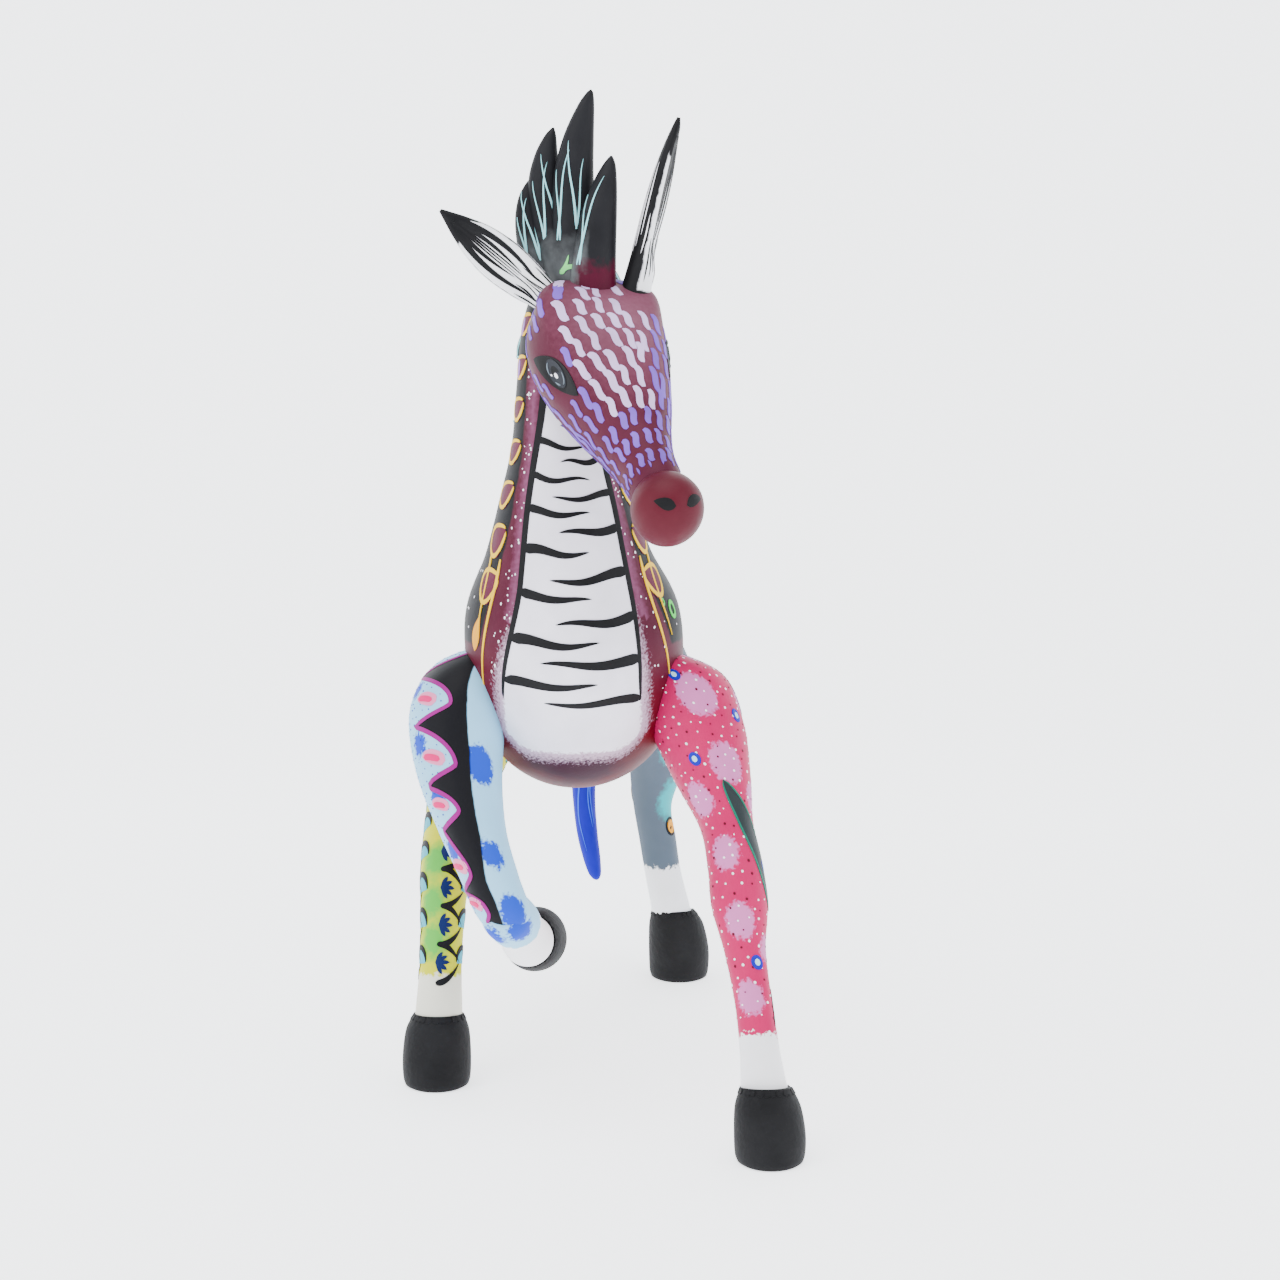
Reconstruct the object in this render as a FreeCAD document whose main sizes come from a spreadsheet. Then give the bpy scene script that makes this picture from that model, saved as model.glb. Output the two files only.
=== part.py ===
# A carved and painted wooden horse with plugged-in ears and tail.
# Millimetres.  The animal faces -Y, its left side is +X, up is +Z, and the
# floor it stands on is Z = 0.
import FreeCAD, Part
import Sketcher
import os

V = FreeCAD.Vector
doc = FreeCAD.newDocument("carved_horse")

# ---------------------------------------------------------------- dimensions
sheet = doc.addObject("Spreadsheet::Sheet", "dims")
sheet_row = 1


def store(names_and_values):
    """Write named values into the next row of the sheet."""
    global sheet_row
    for column, (name, value) in enumerate(names_and_values):
        cell = "ABCDEFGHIJ"[column] + str(sheet_row)
        sheet.set(cell, str(value))
        sheet.setAlias(cell, name)
    sheet_row += 1


store([("peg_radius", 3.2)])          # loose pegs that carry the ears and tail
store([("peg_clearance", 0.05)])      # radial play of a loose peg
store([("peg_reach", 13)])            # how far a loose peg goes in at each end
store([("dowel_radius", 4)])          # glued dowels
store([("crest_dowel_radius", 3.5)])
store([("root_radius", 6.2)])         # round foot of an ear
store([("seat_play", 0.5)])           # gap round a foot in its seat
store([("seat_depth", 2.5)])
store([("foot_gap", 0.2)])            # gap under a foot
store([("tail_root_radius", 8)])
store([("ear_room_radius", 11)])      # space an ear sweeps as it turns

# Every limb is a stack of oval rings.  Each ring is listed as
# x, y, z of its centre, the lean of its plane about X in degrees,
# half its width and half its depth.
TRUNK_RINGS = [
    (-9, 141, 178, 90, 8, 8),        # end of the rump
    (-9, 137, 178, 90, 22, 20),
    (-9, 122, 176, 90, 34, 32),
    (-9, 90, 173, 90, 40, 37),          # hips
    (-9, 50, 172, 90, 41, 36.5),        # barrel
    (-9, 25, 172, 90, 41, 37.5),
    (-9, -7, 172.1, 70, 43, 42.9),      # ribs
    (-9, -39, 184.1, 50, 46, 52),       # chest
    (-10, -59, 212, 30, 46, 49),        # foot of the neck
    (-11.5, -62, 238.7, 15, 35.5, 38),
    (-12.5, -58, 262, 0, 28.5, 31),
    (-13, -57, 285, 0, 22.7, 26.5),     # throat
    (-13, -55, 310, 0, 20.5, 24),
    (-12.5, -53, 335, 0, 18.5, 22.5),
    (-12, -52, 350, 0, 14, 17),
    (-12, -52, 356, 0, 6, 8),           # top of the neck
]
FRONT_LEFT_RINGS = [
    (20, -44, 194, -18, 13, 16),        # inside the shoulder
    (35, -51, 184, -22, 20, 25),
    (43, -61, 165, -26, 20.5, 25),      # shoulder
    (49.5, -74, 145, -30, 16.5, 21),
    (55.3, -87, 127, -32, 11.5, 16),
    (58.6, -97, 112, -30, 11.5, 13.5),
    (60.5, -104, 96, -24, 11.8, 13.5),  # knee
    (62.6, -111, 79, -26, 8.8, 10.5),
    (66, -122, 59, -28, 7.8, 9),        # shin
    (68.5, -132, 40, -26, 8.5, 9.6),
    (70.3, -139, 24, -14, 10.2, 11.5),  # inside the hoof
]
FRONT_LEFT_HOOF = [
    (70.5, -140, 29, -12, 11, 12.4),
    (71.2, -142, 22, -7, 13.4, 14.8),
    (72, -144.5, 11, 0, 14.8, 16.6),
    (72.2, -146, 0, 0, 13.8, 15.8),
]
FRONT_RIGHT_RINGS = [
    (-34, -38, 198, -12, 10, 13),       # inside the shoulder
    (-50, -48, 189, -20, 19, 23),
    (-58.5, -64, 172, -30, 21, 25.4),   # shoulder
    (-58, -80, 150, -36, 18.5, 21),
    (-52, -95, 128, -34, 14.5, 17),
    (-44.5, -105, 110, -28, 12.6, 15),
    (-39, -110.5, 97, -24, 12, 13.6),   # knee
    (-37, -112.5, 90, -22, 9, 10.5),
    (-36.5, -113.5, 86.5, -22, 4, 4.5),
]
FRONT_RIGHT_SHIN = [
    (-37.5, -117, 98, 50, 7, 8),        # inside the knee
    (-37, -112, 95, 52, 10.5, 11.5),
    (-34.5, -101, 89, 55, 11.2, 11.6),
    (-31.5, -87, 80.5, 58, 10, 10.3),   # folded shin
    (-29.8, -75, 74, 62, 11, 11.5),
    (-28.8, -66, 71.5, 66, 10.4, 11),   # inside the hoof
]
FRONT_RIGHT_HOOF = [
    (-28.8, -70, 72.5, 66, 10.8, 11.4),
    (-28, -64, 71, 68, 12.4, 12.9),
    (-27, -54, 68.5, 72, 13.6, 13.9),
    (-26.6, -43, 66.5, 76, 12.8, 13.1),
]
REAR_LEFT_RINGS = [
    (1, 102, 193, 10, 9, 13),           # inside the hip
    (14, 106, 182, 10, 17, 25),
    (23, 109, 164, 10, 19.5, 30),
    (27, 114, 146, 6, 17, 27),          # thigh
    (27.5, 120, 126, 0, 13.5, 21),
    (26.5, 127, 105, -10, 12.6, 16),    # hock
    (25, 127.5, 88, -4, 9.4, 12),
    (27.5, 126, 72, 6, 9.1, 10.5),
    (30, 125, 56, 4, 9, 10),
    (34, 127, 37, -8, 9.7, 10.8),
    (36, 129, 28, -6, 10.4, 11.6),      # inside the hoof
]
REAR_LEFT_HOOF = [
    (35.2, 128, 35, -8, 10.6, 12),
    (36.8, 130, 28, -4, 13.2, 14.6),
    (38.2, 132, 14, 0, 15, 16.5),
    (38.3, 133, 0, 0, 14, 15.6),
]
REAR_RIGHT_RINGS = [
    (-18, 101, 192, -32, 9, 13),        # inside the hip
    (-33, 95, 180, -38, 18, 25),
    (-45, 83, 161, -42, 21.5, 29),      # thigh
    (-55, 65, 143, -46, 19.5, 26),
    (-62, 43, 124, -50, 16, 20),
    (-67, 18, 105, -50, 12.5, 15),
    (-69, -5, 88, -40, 11.2, 13),       # hock
    (-69.5, -21, 70, -24, 9.8, 11.4),
    (-70, -30, 51, -16, 9.4, 10.4),
    (-70.4, -36, 35, -10, 10.2, 11.4),
    (-70.8, -39, 26, -6, 10.8, 12),     # inside the hoof
]
REAR_RIGHT_HOOF = [
    (-70.6, -38, 30.5, -8, 11.2, 12.4),
    (-71, -39.8, 24, -4, 13.8, 14.8),
    (-71.3, -42, 12, 0, 15.2, 16.6),
    (-71.3, -43, 0, 0, 14.2, 15.6),
]
TAIL_RINGS = [
    (-9, 138.5, 206.8, 125, 8.3, 8.6),  # root of the tail
    (-9, 145, 210, 108, 9.2, 9.5),
    (-9, 152, 207.5, 74, 9.4, 9.7),
    (-9, 157.5, 198, 36, 9.2, 9.5),
    (-9.5, 160, 180, 12, 9, 9.3),
    (-10, 161, 150, 3, 8.4, 8.7),
    (-10, 161.5, 118, 0, 7.4, 7.7),
    (-9.6, 161.5, 86, 0, 5.8, 6.1),
    (-8, 161, 67, 0, 5.3, 5.6),
    (-5.6, 160.5, 53, 0, 4.4, 4.7),
    (-4, 160, 45, 0, 3, 3.3),
    (-3.4, 160, 42.5, 0, 1, 1.3),       # tip
]
# Head rings: how far the ring is from the back of the skull, how high its
# centre is above the line of the head, half its width and half its height.
HEAD_RINGS = [
    (-24, 0, 11, 12),
    (-16, 0, 21, 20),
    (-2, 0, 27.5, 25.5),
    (14, 0, 28.8, 26.6),                # forehead
    (30, 0, 26.8, 25.2),                # brow
    (46, -1, 21.5, 21.5),
    (62, -2, 15.5, 17),
    (76, -2, 11.8, 14),                 # muzzle
    (90, -1, 10.6, 12.5),
    (98, 0, 9, 10),
]
NOSE_RINGS = [
    (88.5, 0, 3, 3),
    (90.5, 0, 8, 8.3),
    (94.5, 0, 12, 12.5),
    (100, 0, 14.2, 14.8),
    (105, 0, 14.4, 15.2),
    (110.5, 0, 12.4, 13.2),
    (115, 0, 8, 8.6),
    (117, 0, 3, 3),
]
# Crest: the shared base, then each curled spike.
CREST_BASE = [
    (-9, -74, 338, 0, 17, 15),
    (-9, -74, 352, 0, 19, 15),
    (-9.5, -73, 364, 0, 16.5, 10.5),
    (-9.5, -72, 372, 0, 13, 6.5),
    (-9.5, -71.5, 376, 0, 8, 3),
]
CREST_SPIKES = [
    [(-1, -80, 348, 0, 10, 9), (0.2, -82, 366, 0, 8.6, 7.5), (2.2, -82, 384, 0, 6.2, 5.2),
     (4.6, -80, 397, 0, 3.2, 2.8), (7, -78, 406, 0, 0.7, 0.7)],
    [(-8, -72, 352, 0, 9.5, 10), (-8.5, -72, 376, 0, 9, 7.6), (-8.3, -71, 398, 0, 7, 5.6),
     (-6, -70, 418, 0, 4, 3.3), (-1.8, -70, 433, 0, 0.7, 0.7)],
    [(-16, -68, 352, 0, 9, 9), (-18.5, -67, 374, 0, 8, 6.8), (-20.5, -66, 394, 0, 5.8, 4.8),
     (-19.8, -65, 409, 0, 3, 2.6), (-17, -64, 418, 0, 0.7, 0.7)],
    [(-20, -68, 350, 0, 8.5, 9), (-24.5, -67, 366, 0, 7, 6.4), (-27.6, -66, 380, 0, 4.8, 4.2),
     (-28, -65, 390, 0, 2.5, 2.2), (-26.6, -64.5, 397, 0, 0.7, 0.7)],
]
# Mane: the ridge down the back of the neck, then the locks on each side.
MANE_RIDGE = [
    (-12, -46, 378, -8, 4, 5),
    (-12.5, -42, 364, -8, 11, 11),
    (-13, -36, 344, -8, 14.5, 12),
    (-13, -30.5, 318, -6, 14, 11),
    (-13, -28, 292, -8, 13, 10),
    (-12.5, -22, 268, -24, 12, 10),
    (-11.5, -12, 248, -42, 9.5, 9),
    (-10.5, 0, 231, -58, 6, 6.5),
    (-10, 8, 221, -66, 1.5, 2),
]
# Each lock: side (-1 is the animal's right), height of its root and length.
MANE_LOCKS = [
    (-1, 372, 22), (-1, 345, 24), (-1, 315, 22), (-1, 286, 20),
    (1, 366, 22), (1, 335, 22), (1, 304, 20),
]
# Ear rings in the ear's own frame, foot at the bottom: height along the ear,
# half its breadth and half its thickness.
EAR_RINGS = [
    (0, 6.0, 6.1), (5, 6.0, 6.1), (10, 6.2, 5.9), (16, 6.9, 5.6), (24, 8.4, 5.4), (36, 9.4, 5.2),
    (48, 8.2, 4.5), (58, 5.2, 3.2), (65, 2.4, 1.8), (69, 0.7, 0.7),
]
# The scooped inside of an ear: height, half breadth, half depth.
EAR_SCOOP = [(15, 0.8, 0.8), (22, 4.6, 3), (35, 6.6, 3.8), (48, 5.2, 3), (60, 0.8, 0.8)]

# Where things sit: name -> x, y, z, then turns about X, Y, Z in degrees.
store([("head_x", -1.5), ("head_y", -78), ("head_z", 331), ("head_yaw", 22), ("head_pitch", 36.5)])
store([("right_ear_x", -10), ("right_ear_y", -81.2), ("right_ear_z", 340.5),
       ("right_ear_tilt", -50.5), ("right_ear_turn", 0), ("right_ear_stretch", 1)])
store([("left_ear_x", 16), ("left_ear_y", -80), ("left_ear_z", 347),
       ("left_ear_tilt", 14), ("left_ear_turn", 78), ("left_ear_stretch", 1.12)])
store([("tail_x", -9), ("tail_y", 134), ("tail_z", 203.6), ("tail_pitch", -55)])
doc.recompute()


def value(name):
    """A number from the sheet."""
    return float(sheet.get(name))


def bind(thing, **links):
    """Tie properties to sheet formulas; a double underscore stands for a dot."""
    for prop, formula in links.items():
        thing.setExpression(prop.replace("__", "."), formula)


# ------------------------------------------------------------------ builders
def plane(body, role):
    for feature in body.Origin.OriginFeatures:
        if feature.Role == role:
            return feature


def oval(body, name, base_plane, x, y, z, lean, wide, deep):
    """One oval ring sketch whose place and size come from the sheet."""
    if wide == deep:
        deep += 0.3     # an oval needs one side longer than the other
    keys = ["x", "y", "z", "lean", "wide", "deep"]
    store([(name + "_" + key, number) for key, number in zip(keys, (x, y, z, lean, wide, deep))])
    sketch = body.newObject("Sketcher::SketchObject", name)
    sketch.AttachmentSupport = [(plane(body, base_plane), "")]
    sketch.MapMode = "FlatFace"
    sketch.AttachmentOffset = FreeCAD.Placement(V(x, y, z), FreeCAD.Rotation(V(1, 0, 0), lean))
    if wide >= deep:
        shape = Part.Ellipse(V(wide, 0, 0), V(0, deep, 0), V(0, 0, 0))
        direction, long_key, short_key = "Horizontal", "_wide", "_deep"
    else:
        shape = Part.Ellipse(V(0, deep, 0), V(-wide, 0, 0), V(0, 0, 0))
        direction, long_key, short_key = "Vertical", "_deep", "_wide"
    index = sketch.addGeometry(shape, False)
    sketch.exposeInternalGeometry(index)
    sketch.addConstraint(Sketcher.Constraint("Coincident", index, 3, -1, 1))
    sketch.addConstraint(Sketcher.Constraint(direction, index + 1))
    long_side = sketch.addConstraint(
        Sketcher.Constraint("Distance", index + 1, 2 * max(wide, deep)))
    short_side = sketch.addConstraint(
        Sketcher.Constraint("Distance", index + 2, 2 * min(wide, deep)))
    sketch.setExpression("Constraints[%d]" % long_side, "2 * dims." + name + long_key)
    sketch.setExpression("Constraints[%d]" % short_side, "2 * dims." + name + short_key)
    bind(sketch, AttachmentOffset__Base__x="dims." + name + "_x",
         AttachmentOffset__Base__y="dims." + name + "_y",
         AttachmentOffset__Base__z="dims." + name + "_z")
    return sketch


def loft(body, name, rings, kind="PartDesign::AdditiveLoft", base_plane="XY_Plane"):
    """A smooth skin through a stack of rings."""
    sketches = [oval(body, "%s_r%d" % (name, number), base_plane, *ring)
                for number, ring in enumerate(rings)]
    feature = body.newObject(kind, name)
    feature.Profile = sketches[0]
    feature.Sections = sketches[1:]
    feature.Ruled = False
    return feature


def limb(name, stacks):
    """A carved body made of one or more lofts."""
    body = doc.addObject("PartDesign::Body", name)
    for number, rings in enumerate(stacks):
        loft(body, "%s_s%d" % (name, number), rings)
    doc.recompute()
    return body


def rod(name, start, end, radius_formula):
    """A round bar between two points; its radius comes from the sheet."""
    bar = doc.addObject("Part::Cylinder", name)
    axis = V(*end) - V(*start)
    bar.Height = axis.Length
    bar.Placement = FreeCAD.Placement(V(*start), FreeCAD.Rotation(V(0, 0, 1), axis))
    bar.setExpression("Radius", radius_formula)
    return bar


def joined(name, pieces):
    group = doc.addObject("Part::MultiFuse", name)
    group.Shapes = pieces
    return group


def cut_away(name, base, tools):
    """The base with every tool taken out of it, one after another."""
    result = base
    for number, tool in enumerate(tools):
        cut = doc.addObject("Part::Cut", name if number == len(tools) - 1 else
                            "%s_cut%d" % (name, number))
        cut.Base = result
        cut.Tool = tool
        doc.recompute()
        removed = result.Shape.Volume - cut.Shape.Volume
        print("%s less %s: %.0f mm3 taken out" % (name, tool.Name, removed))
        if removed < -1 or cut.Shape.Volume <= 0:
            raise RuntimeError("%s was not cut properly by %s" % (name, tool.Name))
        result = cut
    result.Label = name
    return result


def on_axis(placement, distance):
    """A point this far along a placed piece's own Z axis."""
    return tuple(placement.multVec(V(0, 0, distance)))


# --------------------------------------------------------------- rough bodies
def rough_head():
    """Skull, muzzle and nose ball, lofted forward along the head's own line."""
    body = doc.addObject("PartDesign::Body", "rough_head")
    for name, rings in (("skull", HEAD_RINGS), ("nose", NOSE_RINGS)):
        stack = [(0, rise, forward, 0, wide, tall) for forward, rise, wide, tall in rings]
        loft(body, name, stack, base_plane="XZ_Plane")
    yaw = FreeCAD.Rotation(V(0, 0, 1), value("head_yaw"))
    pitch = FreeCAD.Rotation(V(1, 0, 0), value("head_pitch"))
    body.Placement = FreeCAD.Placement(V(0, 0, 0), yaw.multiply(pitch))
    bind(body, Placement__Base__x="dims.head_x", Placement__Base__y="dims.head_y",
         Placement__Base__z="dims.head_z")
    doc.recompute()
    return body


def ear(name, side):
    """A leaf-shaped ear on a round foot, scooped out in front."""
    body = doc.addObject("PartDesign::Body", name + "_rough")
    stretch = value(side + "_ear_stretch")
    leaf = [(0, 0, height * stretch, 0, wide, deep) for height, wide, deep in EAR_RINGS]
    loft(body, name + "_leaf", leaf)
    doc.recompute()
    scoop = [(0, -5.0, height * stretch, 0, wide, deep) for height, wide, deep in EAR_SCOOP]
    loft(body, name + "_scoop", scoop, kind="PartDesign::SubtractiveLoft")
    tilt = FreeCAD.Rotation(V(0, 1, 0), value(side + "_ear_tilt"))
    turn = FreeCAD.Rotation(V(0, 0, 1), value(side + "_ear_turn"))
    body.Placement = FreeCAD.Placement(V(0, 0, 0), tilt.multiply(turn))
    bind(body, Placement__Base__x="dims.%s_ear_x" % side,
         Placement__Base__y="dims.%s_ear_y" % side,
         Placement__Base__z="dims.%s_ear_z" % side)
    doc.recompute()
    return body


def mane_rings():
    """The ridge, and every lock as a short stack that lies along the neck."""
    stacks = [MANE_RIDGE]
    for side, height, length in MANE_LOCKS:
        middle = -12.5
        back = -38 + (350 - height) * 0.13
        reach = 12.5 + max(0, 330 - height) * 0.09
        stacks.append([
            (middle + side * 6, back, height, 0, 7, 8),
            (middle + side * (reach + 1), back - 3, height - length * 0.35, 0, 7.5, 7.5),
            (middle + side * (reach + 6), back - 5, height - length * 0.75, 0, 6.5, 6.5),
            (middle + side * (reach + 8), back - 6, height - length, 0, 4.6, 5),
        ])
    return stacks


trunk = limb("rough_trunk", [TRUNK_RINGS])
head_body = rough_head()
right_ear_body = ear("right_ear", "right")
left_ear_body = ear("left_ear", "left")
legs = {
    "front_left_leg": limb("rough_front_left", [FRONT_LEFT_RINGS, FRONT_LEFT_HOOF]),
    "front_right_leg": limb("rough_front_right", [FRONT_RIGHT_RINGS, FRONT_RIGHT_SHIN, FRONT_RIGHT_HOOF]),
    "rear_left_leg": limb("rough_rear_left", [REAR_LEFT_RINGS, REAR_LEFT_HOOF]),
    "rear_right_leg": limb("rough_rear_right", [REAR_RIGHT_RINGS, REAR_RIGHT_HOOF]),
}
crest_body = limb("rough_crest", [CREST_BASE] + CREST_SPIKES)
mane_body = limb("rough_mane", mane_rings())

# --------------------------------------------------------------------- dowels
DOWELS = {
    "front_left_dowels": [((16, -46, 186), (50, -50, 182)), ((16, -60, 168), (52, -66, 164))],
    "front_right_dowels": [((-32, -50, 186), (-66, -56, 180)), ((-32, -60, 168), (-66, -70, 162))],
    "rear_left_dowels": [((4, 98, 180), (32, 98, 178)), ((4, 118, 170), (32, 118, 168))],
    "rear_right_dowels": [((-28, 84, 178), (-55, 82, 174)), ((-28, 98, 166), (-54, 96, 162))],
    "head_dowels": [((-14, -56, 334), (-13, -90, 330)), ((-2, -58, 322), (0, -90, 318))],
}
dowels = {}
for group_name, bars in DOWELS.items():
    rods = [rod("%s_%d" % (group_name, number), start, end, "dims.dowel_radius")
            for number, (start, end) in enumerate(bars)]
    dowels[group_name] = joined(group_name, rods)
    dowels[group_name].Label = group_name
crest_dowel = rod("crest_dowel", (-9, -65, 338), (-9, -65, 361), "dims.crest_dowel_radius")
crest_dowel.Label = "crest_dowel"

# ------------------------------------------------------------- loose fittings
sockets = {}
pegs = {}
rooms = []


def plug(side_name, placement, root_formula, room):
    """Peg, bores and seat that let a loose piece plug in along its own Z axis."""
    reach = value("peg_reach")
    bore = "dims.peg_radius + dims.peg_clearance"
    pegs[side_name] = rod(side_name + "_peg", on_axis(placement, -reach), on_axis(placement, reach),
                          "dims.peg_radius")
    pegs[side_name].Label = side_name + "_peg"
    deep = rod(side_name + "_bore", on_axis(placement, -reach - 1),
               on_axis(placement, reach + 1), bore)
    seat = rod(side_name + "_seat", on_axis(placement, -value("foot_gap")),
               on_axis(placement, 26), root_formula + " + dims.seat_play")
    sockets[side_name] = (deep, seat)
    if room:
        rooms.append(rod(side_name + "_room", on_axis(placement, value("seat_depth")),
                         on_axis(placement, 90), "dims.ear_room_radius"))


plug("right_ear", right_ear_body.Placement, "dims.root_radius", True)
plug("left_ear", left_ear_body.Placement, "dims.root_radius", True)
tail_axis = FreeCAD.Placement(V(value("tail_x"), value("tail_y"), value("tail_z")),
                              FreeCAD.Rotation(V(1, 0, 0), value("tail_pitch")))
plug("tail", tail_axis, "dims.tail_root_radius", False)


def rough_tail():
    """A round root on the peg's line, then the hanging tail."""
    body = limb("rough_tail_hang", [TAIL_RINGS])
    root = rod("rough_tail_root", on_axis(tail_axis, 0), on_axis(tail_axis, 8),
               "dims.tail_root_radius")
    return joined("rough_tail", [root, body])


tail_body = rough_tail()
doc.recompute()

# ------------------------------------------------------------ finished pieces
under_crest = joined("under_crest", [trunk, head_body, crest_dowel] + rooms)
under_mane = joined("under_mane", [trunk, head_body, crest_body] + rooms)
made = []
made.append(cut_away("torso_and_neck", trunk,
                     list(dowels.values()) + [crest_dowel] + list(sockets["tail"])))
made.append(cut_away("head", head_body,
                     [trunk, dowels["head_dowels"], crest_dowel]
                     + list(sockets["right_ear"]) + list(sockets["left_ear"])))
made.append(cut_away("crest", crest_body, [under_crest]))
made.append(cut_away("neck_mane", mane_body, [under_mane]))
made.append(cut_away("right_ear", right_ear_body, [sockets["right_ear"][0]]))
made.append(cut_away("left_ear", left_ear_body, [sockets["left_ear"][0]]))
made.append(cut_away("tail", tail_body, [sockets["tail"][0]]))
for leg_name, leg_body in legs.items():
    made.append(cut_away(leg_name, leg_body, [trunk, dowels[leg_name.replace("_leg", "_dowels")]]))
made += list(dowels.values()) + [crest_dowel] + list(pegs.values())
doc.recompute()

# --------------------------------------------------------------------- checks
for item in doc.Objects:
    if "Invalid" in item.State or "Error" in item.State:
        raise RuntimeError("%s did not build: %s" % (item.Name, item.State))
for item in made:
    shape = item.Shape
    if shape.isNull() or not shape.isValid():
        raise RuntimeError("%s is not a valid solid" % item.Label)
    box = shape.BoundBox
    print("%-20s %d solid(s) %8.1f cm3  x %.1f %.1f  y %.1f %.1f  z %.1f %.1f" % (
        item.Label, len(shape.Solids), shape.Volume / 1000,
        box.XMin, box.XMax, box.YMin, box.YMax, box.ZMin, box.ZMax))

os.makedirs("parts", exist_ok=True)
for item in made:
    item.Shape.exportStep("parts/%s.step" % item.Label)
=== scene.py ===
# %% [markdown]
# # A painted wooden horse
# The real figure is whittled from soft, light branch wood, sanded, given a base coat and then covered
# in tiny brush marks.  This lesson dresses the measured model in the same order: carved forms first,
# broad colour next, and the fine brushwork last, as thin raised strokes of paint.

# %% Load the measured model
import bpy, bmesh
import math, random
from mathutils import Vector, Matrix


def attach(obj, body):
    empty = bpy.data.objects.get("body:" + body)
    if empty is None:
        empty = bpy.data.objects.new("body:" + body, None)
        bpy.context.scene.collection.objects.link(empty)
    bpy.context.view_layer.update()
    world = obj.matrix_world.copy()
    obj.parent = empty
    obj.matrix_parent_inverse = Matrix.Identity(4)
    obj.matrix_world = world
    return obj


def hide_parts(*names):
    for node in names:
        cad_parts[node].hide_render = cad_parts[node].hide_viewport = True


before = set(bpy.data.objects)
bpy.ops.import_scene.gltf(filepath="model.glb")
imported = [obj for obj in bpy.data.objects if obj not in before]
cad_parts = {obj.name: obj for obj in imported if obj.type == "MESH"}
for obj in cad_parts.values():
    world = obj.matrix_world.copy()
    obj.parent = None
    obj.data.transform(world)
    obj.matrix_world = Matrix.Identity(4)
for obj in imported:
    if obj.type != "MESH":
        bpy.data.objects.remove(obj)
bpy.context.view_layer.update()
print("loaded", len(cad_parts), "pieces:", sorted(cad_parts))

# %% [markdown]
# ## Camera, floor and light
# The camera looks the horse in the face from a little above, through a longish lens so the near hoof
# isn't swollen.  Light is soft and almost shadowless, as in a white photo tent.

# %% Camera, floor and light
MM = 0.001

camera_data = bpy.data.cameras.new("camera")
camera_data.lens = 84.4
camera_data.sensor_width = 36
camera = bpy.data.objects.new("camera", camera_data)
camera.location = (18.8 * MM, -1326 * MM, 410 * MM)
camera.rotation_euler = (math.radians(90 - 9.33), 0, 0)
bpy.context.scene.collection.objects.link(camera)
bpy.context.scene.camera = camera


def area_light(name, place, aim, width, power):
    """A big soft box that faces a point."""
    data = bpy.data.lights.new(name, "AREA")
    data.shape = "SQUARE"
    data.size = width
    data.energy = power
    lamp = bpy.data.objects.new(name, data)
    lamp.location = place
    lamp.rotation_euler = (Vector(aim) - Vector(place)).to_track_quat("-Z", "Y").to_euler()
    bpy.context.scene.collection.objects.link(lamp)


area_light("top_light", (-0.3, -0.5, 1.9), (0, 0, 0.2), 1.6, 34)
area_light("left_light", (-1.5, -1.1, 0.9), (0, 0, 0.2), 1.2, 16)
area_light("right_light", (1.5, -1.0, 0.8), (0, 0, 0.2), 1.2, 12)

world = bpy.data.worlds.new("tent")
world.use_nodes = True
world.node_tree.nodes["Background"].inputs["Color"].default_value = (0.93, 0.96, 1.0, 1)
world.node_tree.nodes["Background"].inputs["Strength"].default_value = 1.35
bpy.context.scene.world = world

bm = bmesh.new()
bmesh.ops.create_grid(bm, x_segments=2, y_segments=140, size=7)
for vert in bm.verts:
    back = max(0.0, vert.co.y - 0.6)
    vert.co.z = min(2.4, back * back * 1.1)
floor_mesh = bpy.data.meshes.new("sweep")
bm.to_mesh(floor_mesh)
bm.free()
for face in floor_mesh.polygons:
    face.use_smooth = True
floor = bpy.data.objects.new("sweep", floor_mesh)
bpy.context.scene.collection.objects.link(floor)
floor_paint = bpy.data.materials.new("white_sweep")
floor_paint.use_nodes = True
floor_paint.node_tree.nodes["Principled BSDF"].inputs["Base Color"].default_value = (0.86, 0.87, 0.88, 1)
floor_paint.node_tree.nodes["Principled BSDF"].inputs["Roughness"].default_value = 0.8
floor_paint.node_tree.nodes["Principled BSDF"].inputs["Emission Color"].default_value = (0.95, 0.97, 1, 1)
floor_paint.node_tree.nodes["Principled BSDF"].inputs["Emission Strength"].default_value = 1.9
floor_mesh.materials.append(floor_paint)
print("camera at", tuple(round(c, 3) for c in camera.location))

# %% [markdown]
# ## A carved form as a skin over oval rings
# Every limb is a stack of ovals, the way a carver thinks of a leg as one round section after another.
# `Skin` runs a smooth curve through the ovals and answers one question: where is the surface when I
# go this far round (u) and this far along (v)?  The mesh and every brush mark ask it the same thing,
# so paint always lies exactly on the wood.

# %% Skin: a smooth surface through oval rings


def curve(values, position):
    """A smooth curve through evenly numbered values (Catmull-Rom)."""
    last = len(values) - 1
    index = min(int(position), last - 1)
    t = position - index
    before = values[max(index - 1, 0)]
    start = values[index]
    end = values[index + 1]
    after = values[min(index + 2, last)]
    return 0.5 * (2 * start + (end - before) * t
                  + (2 * before - 5 * start + 4 * end - after) * t * t
                  + (3 * start - before - 3 * end + after) * t ** 3)


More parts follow.
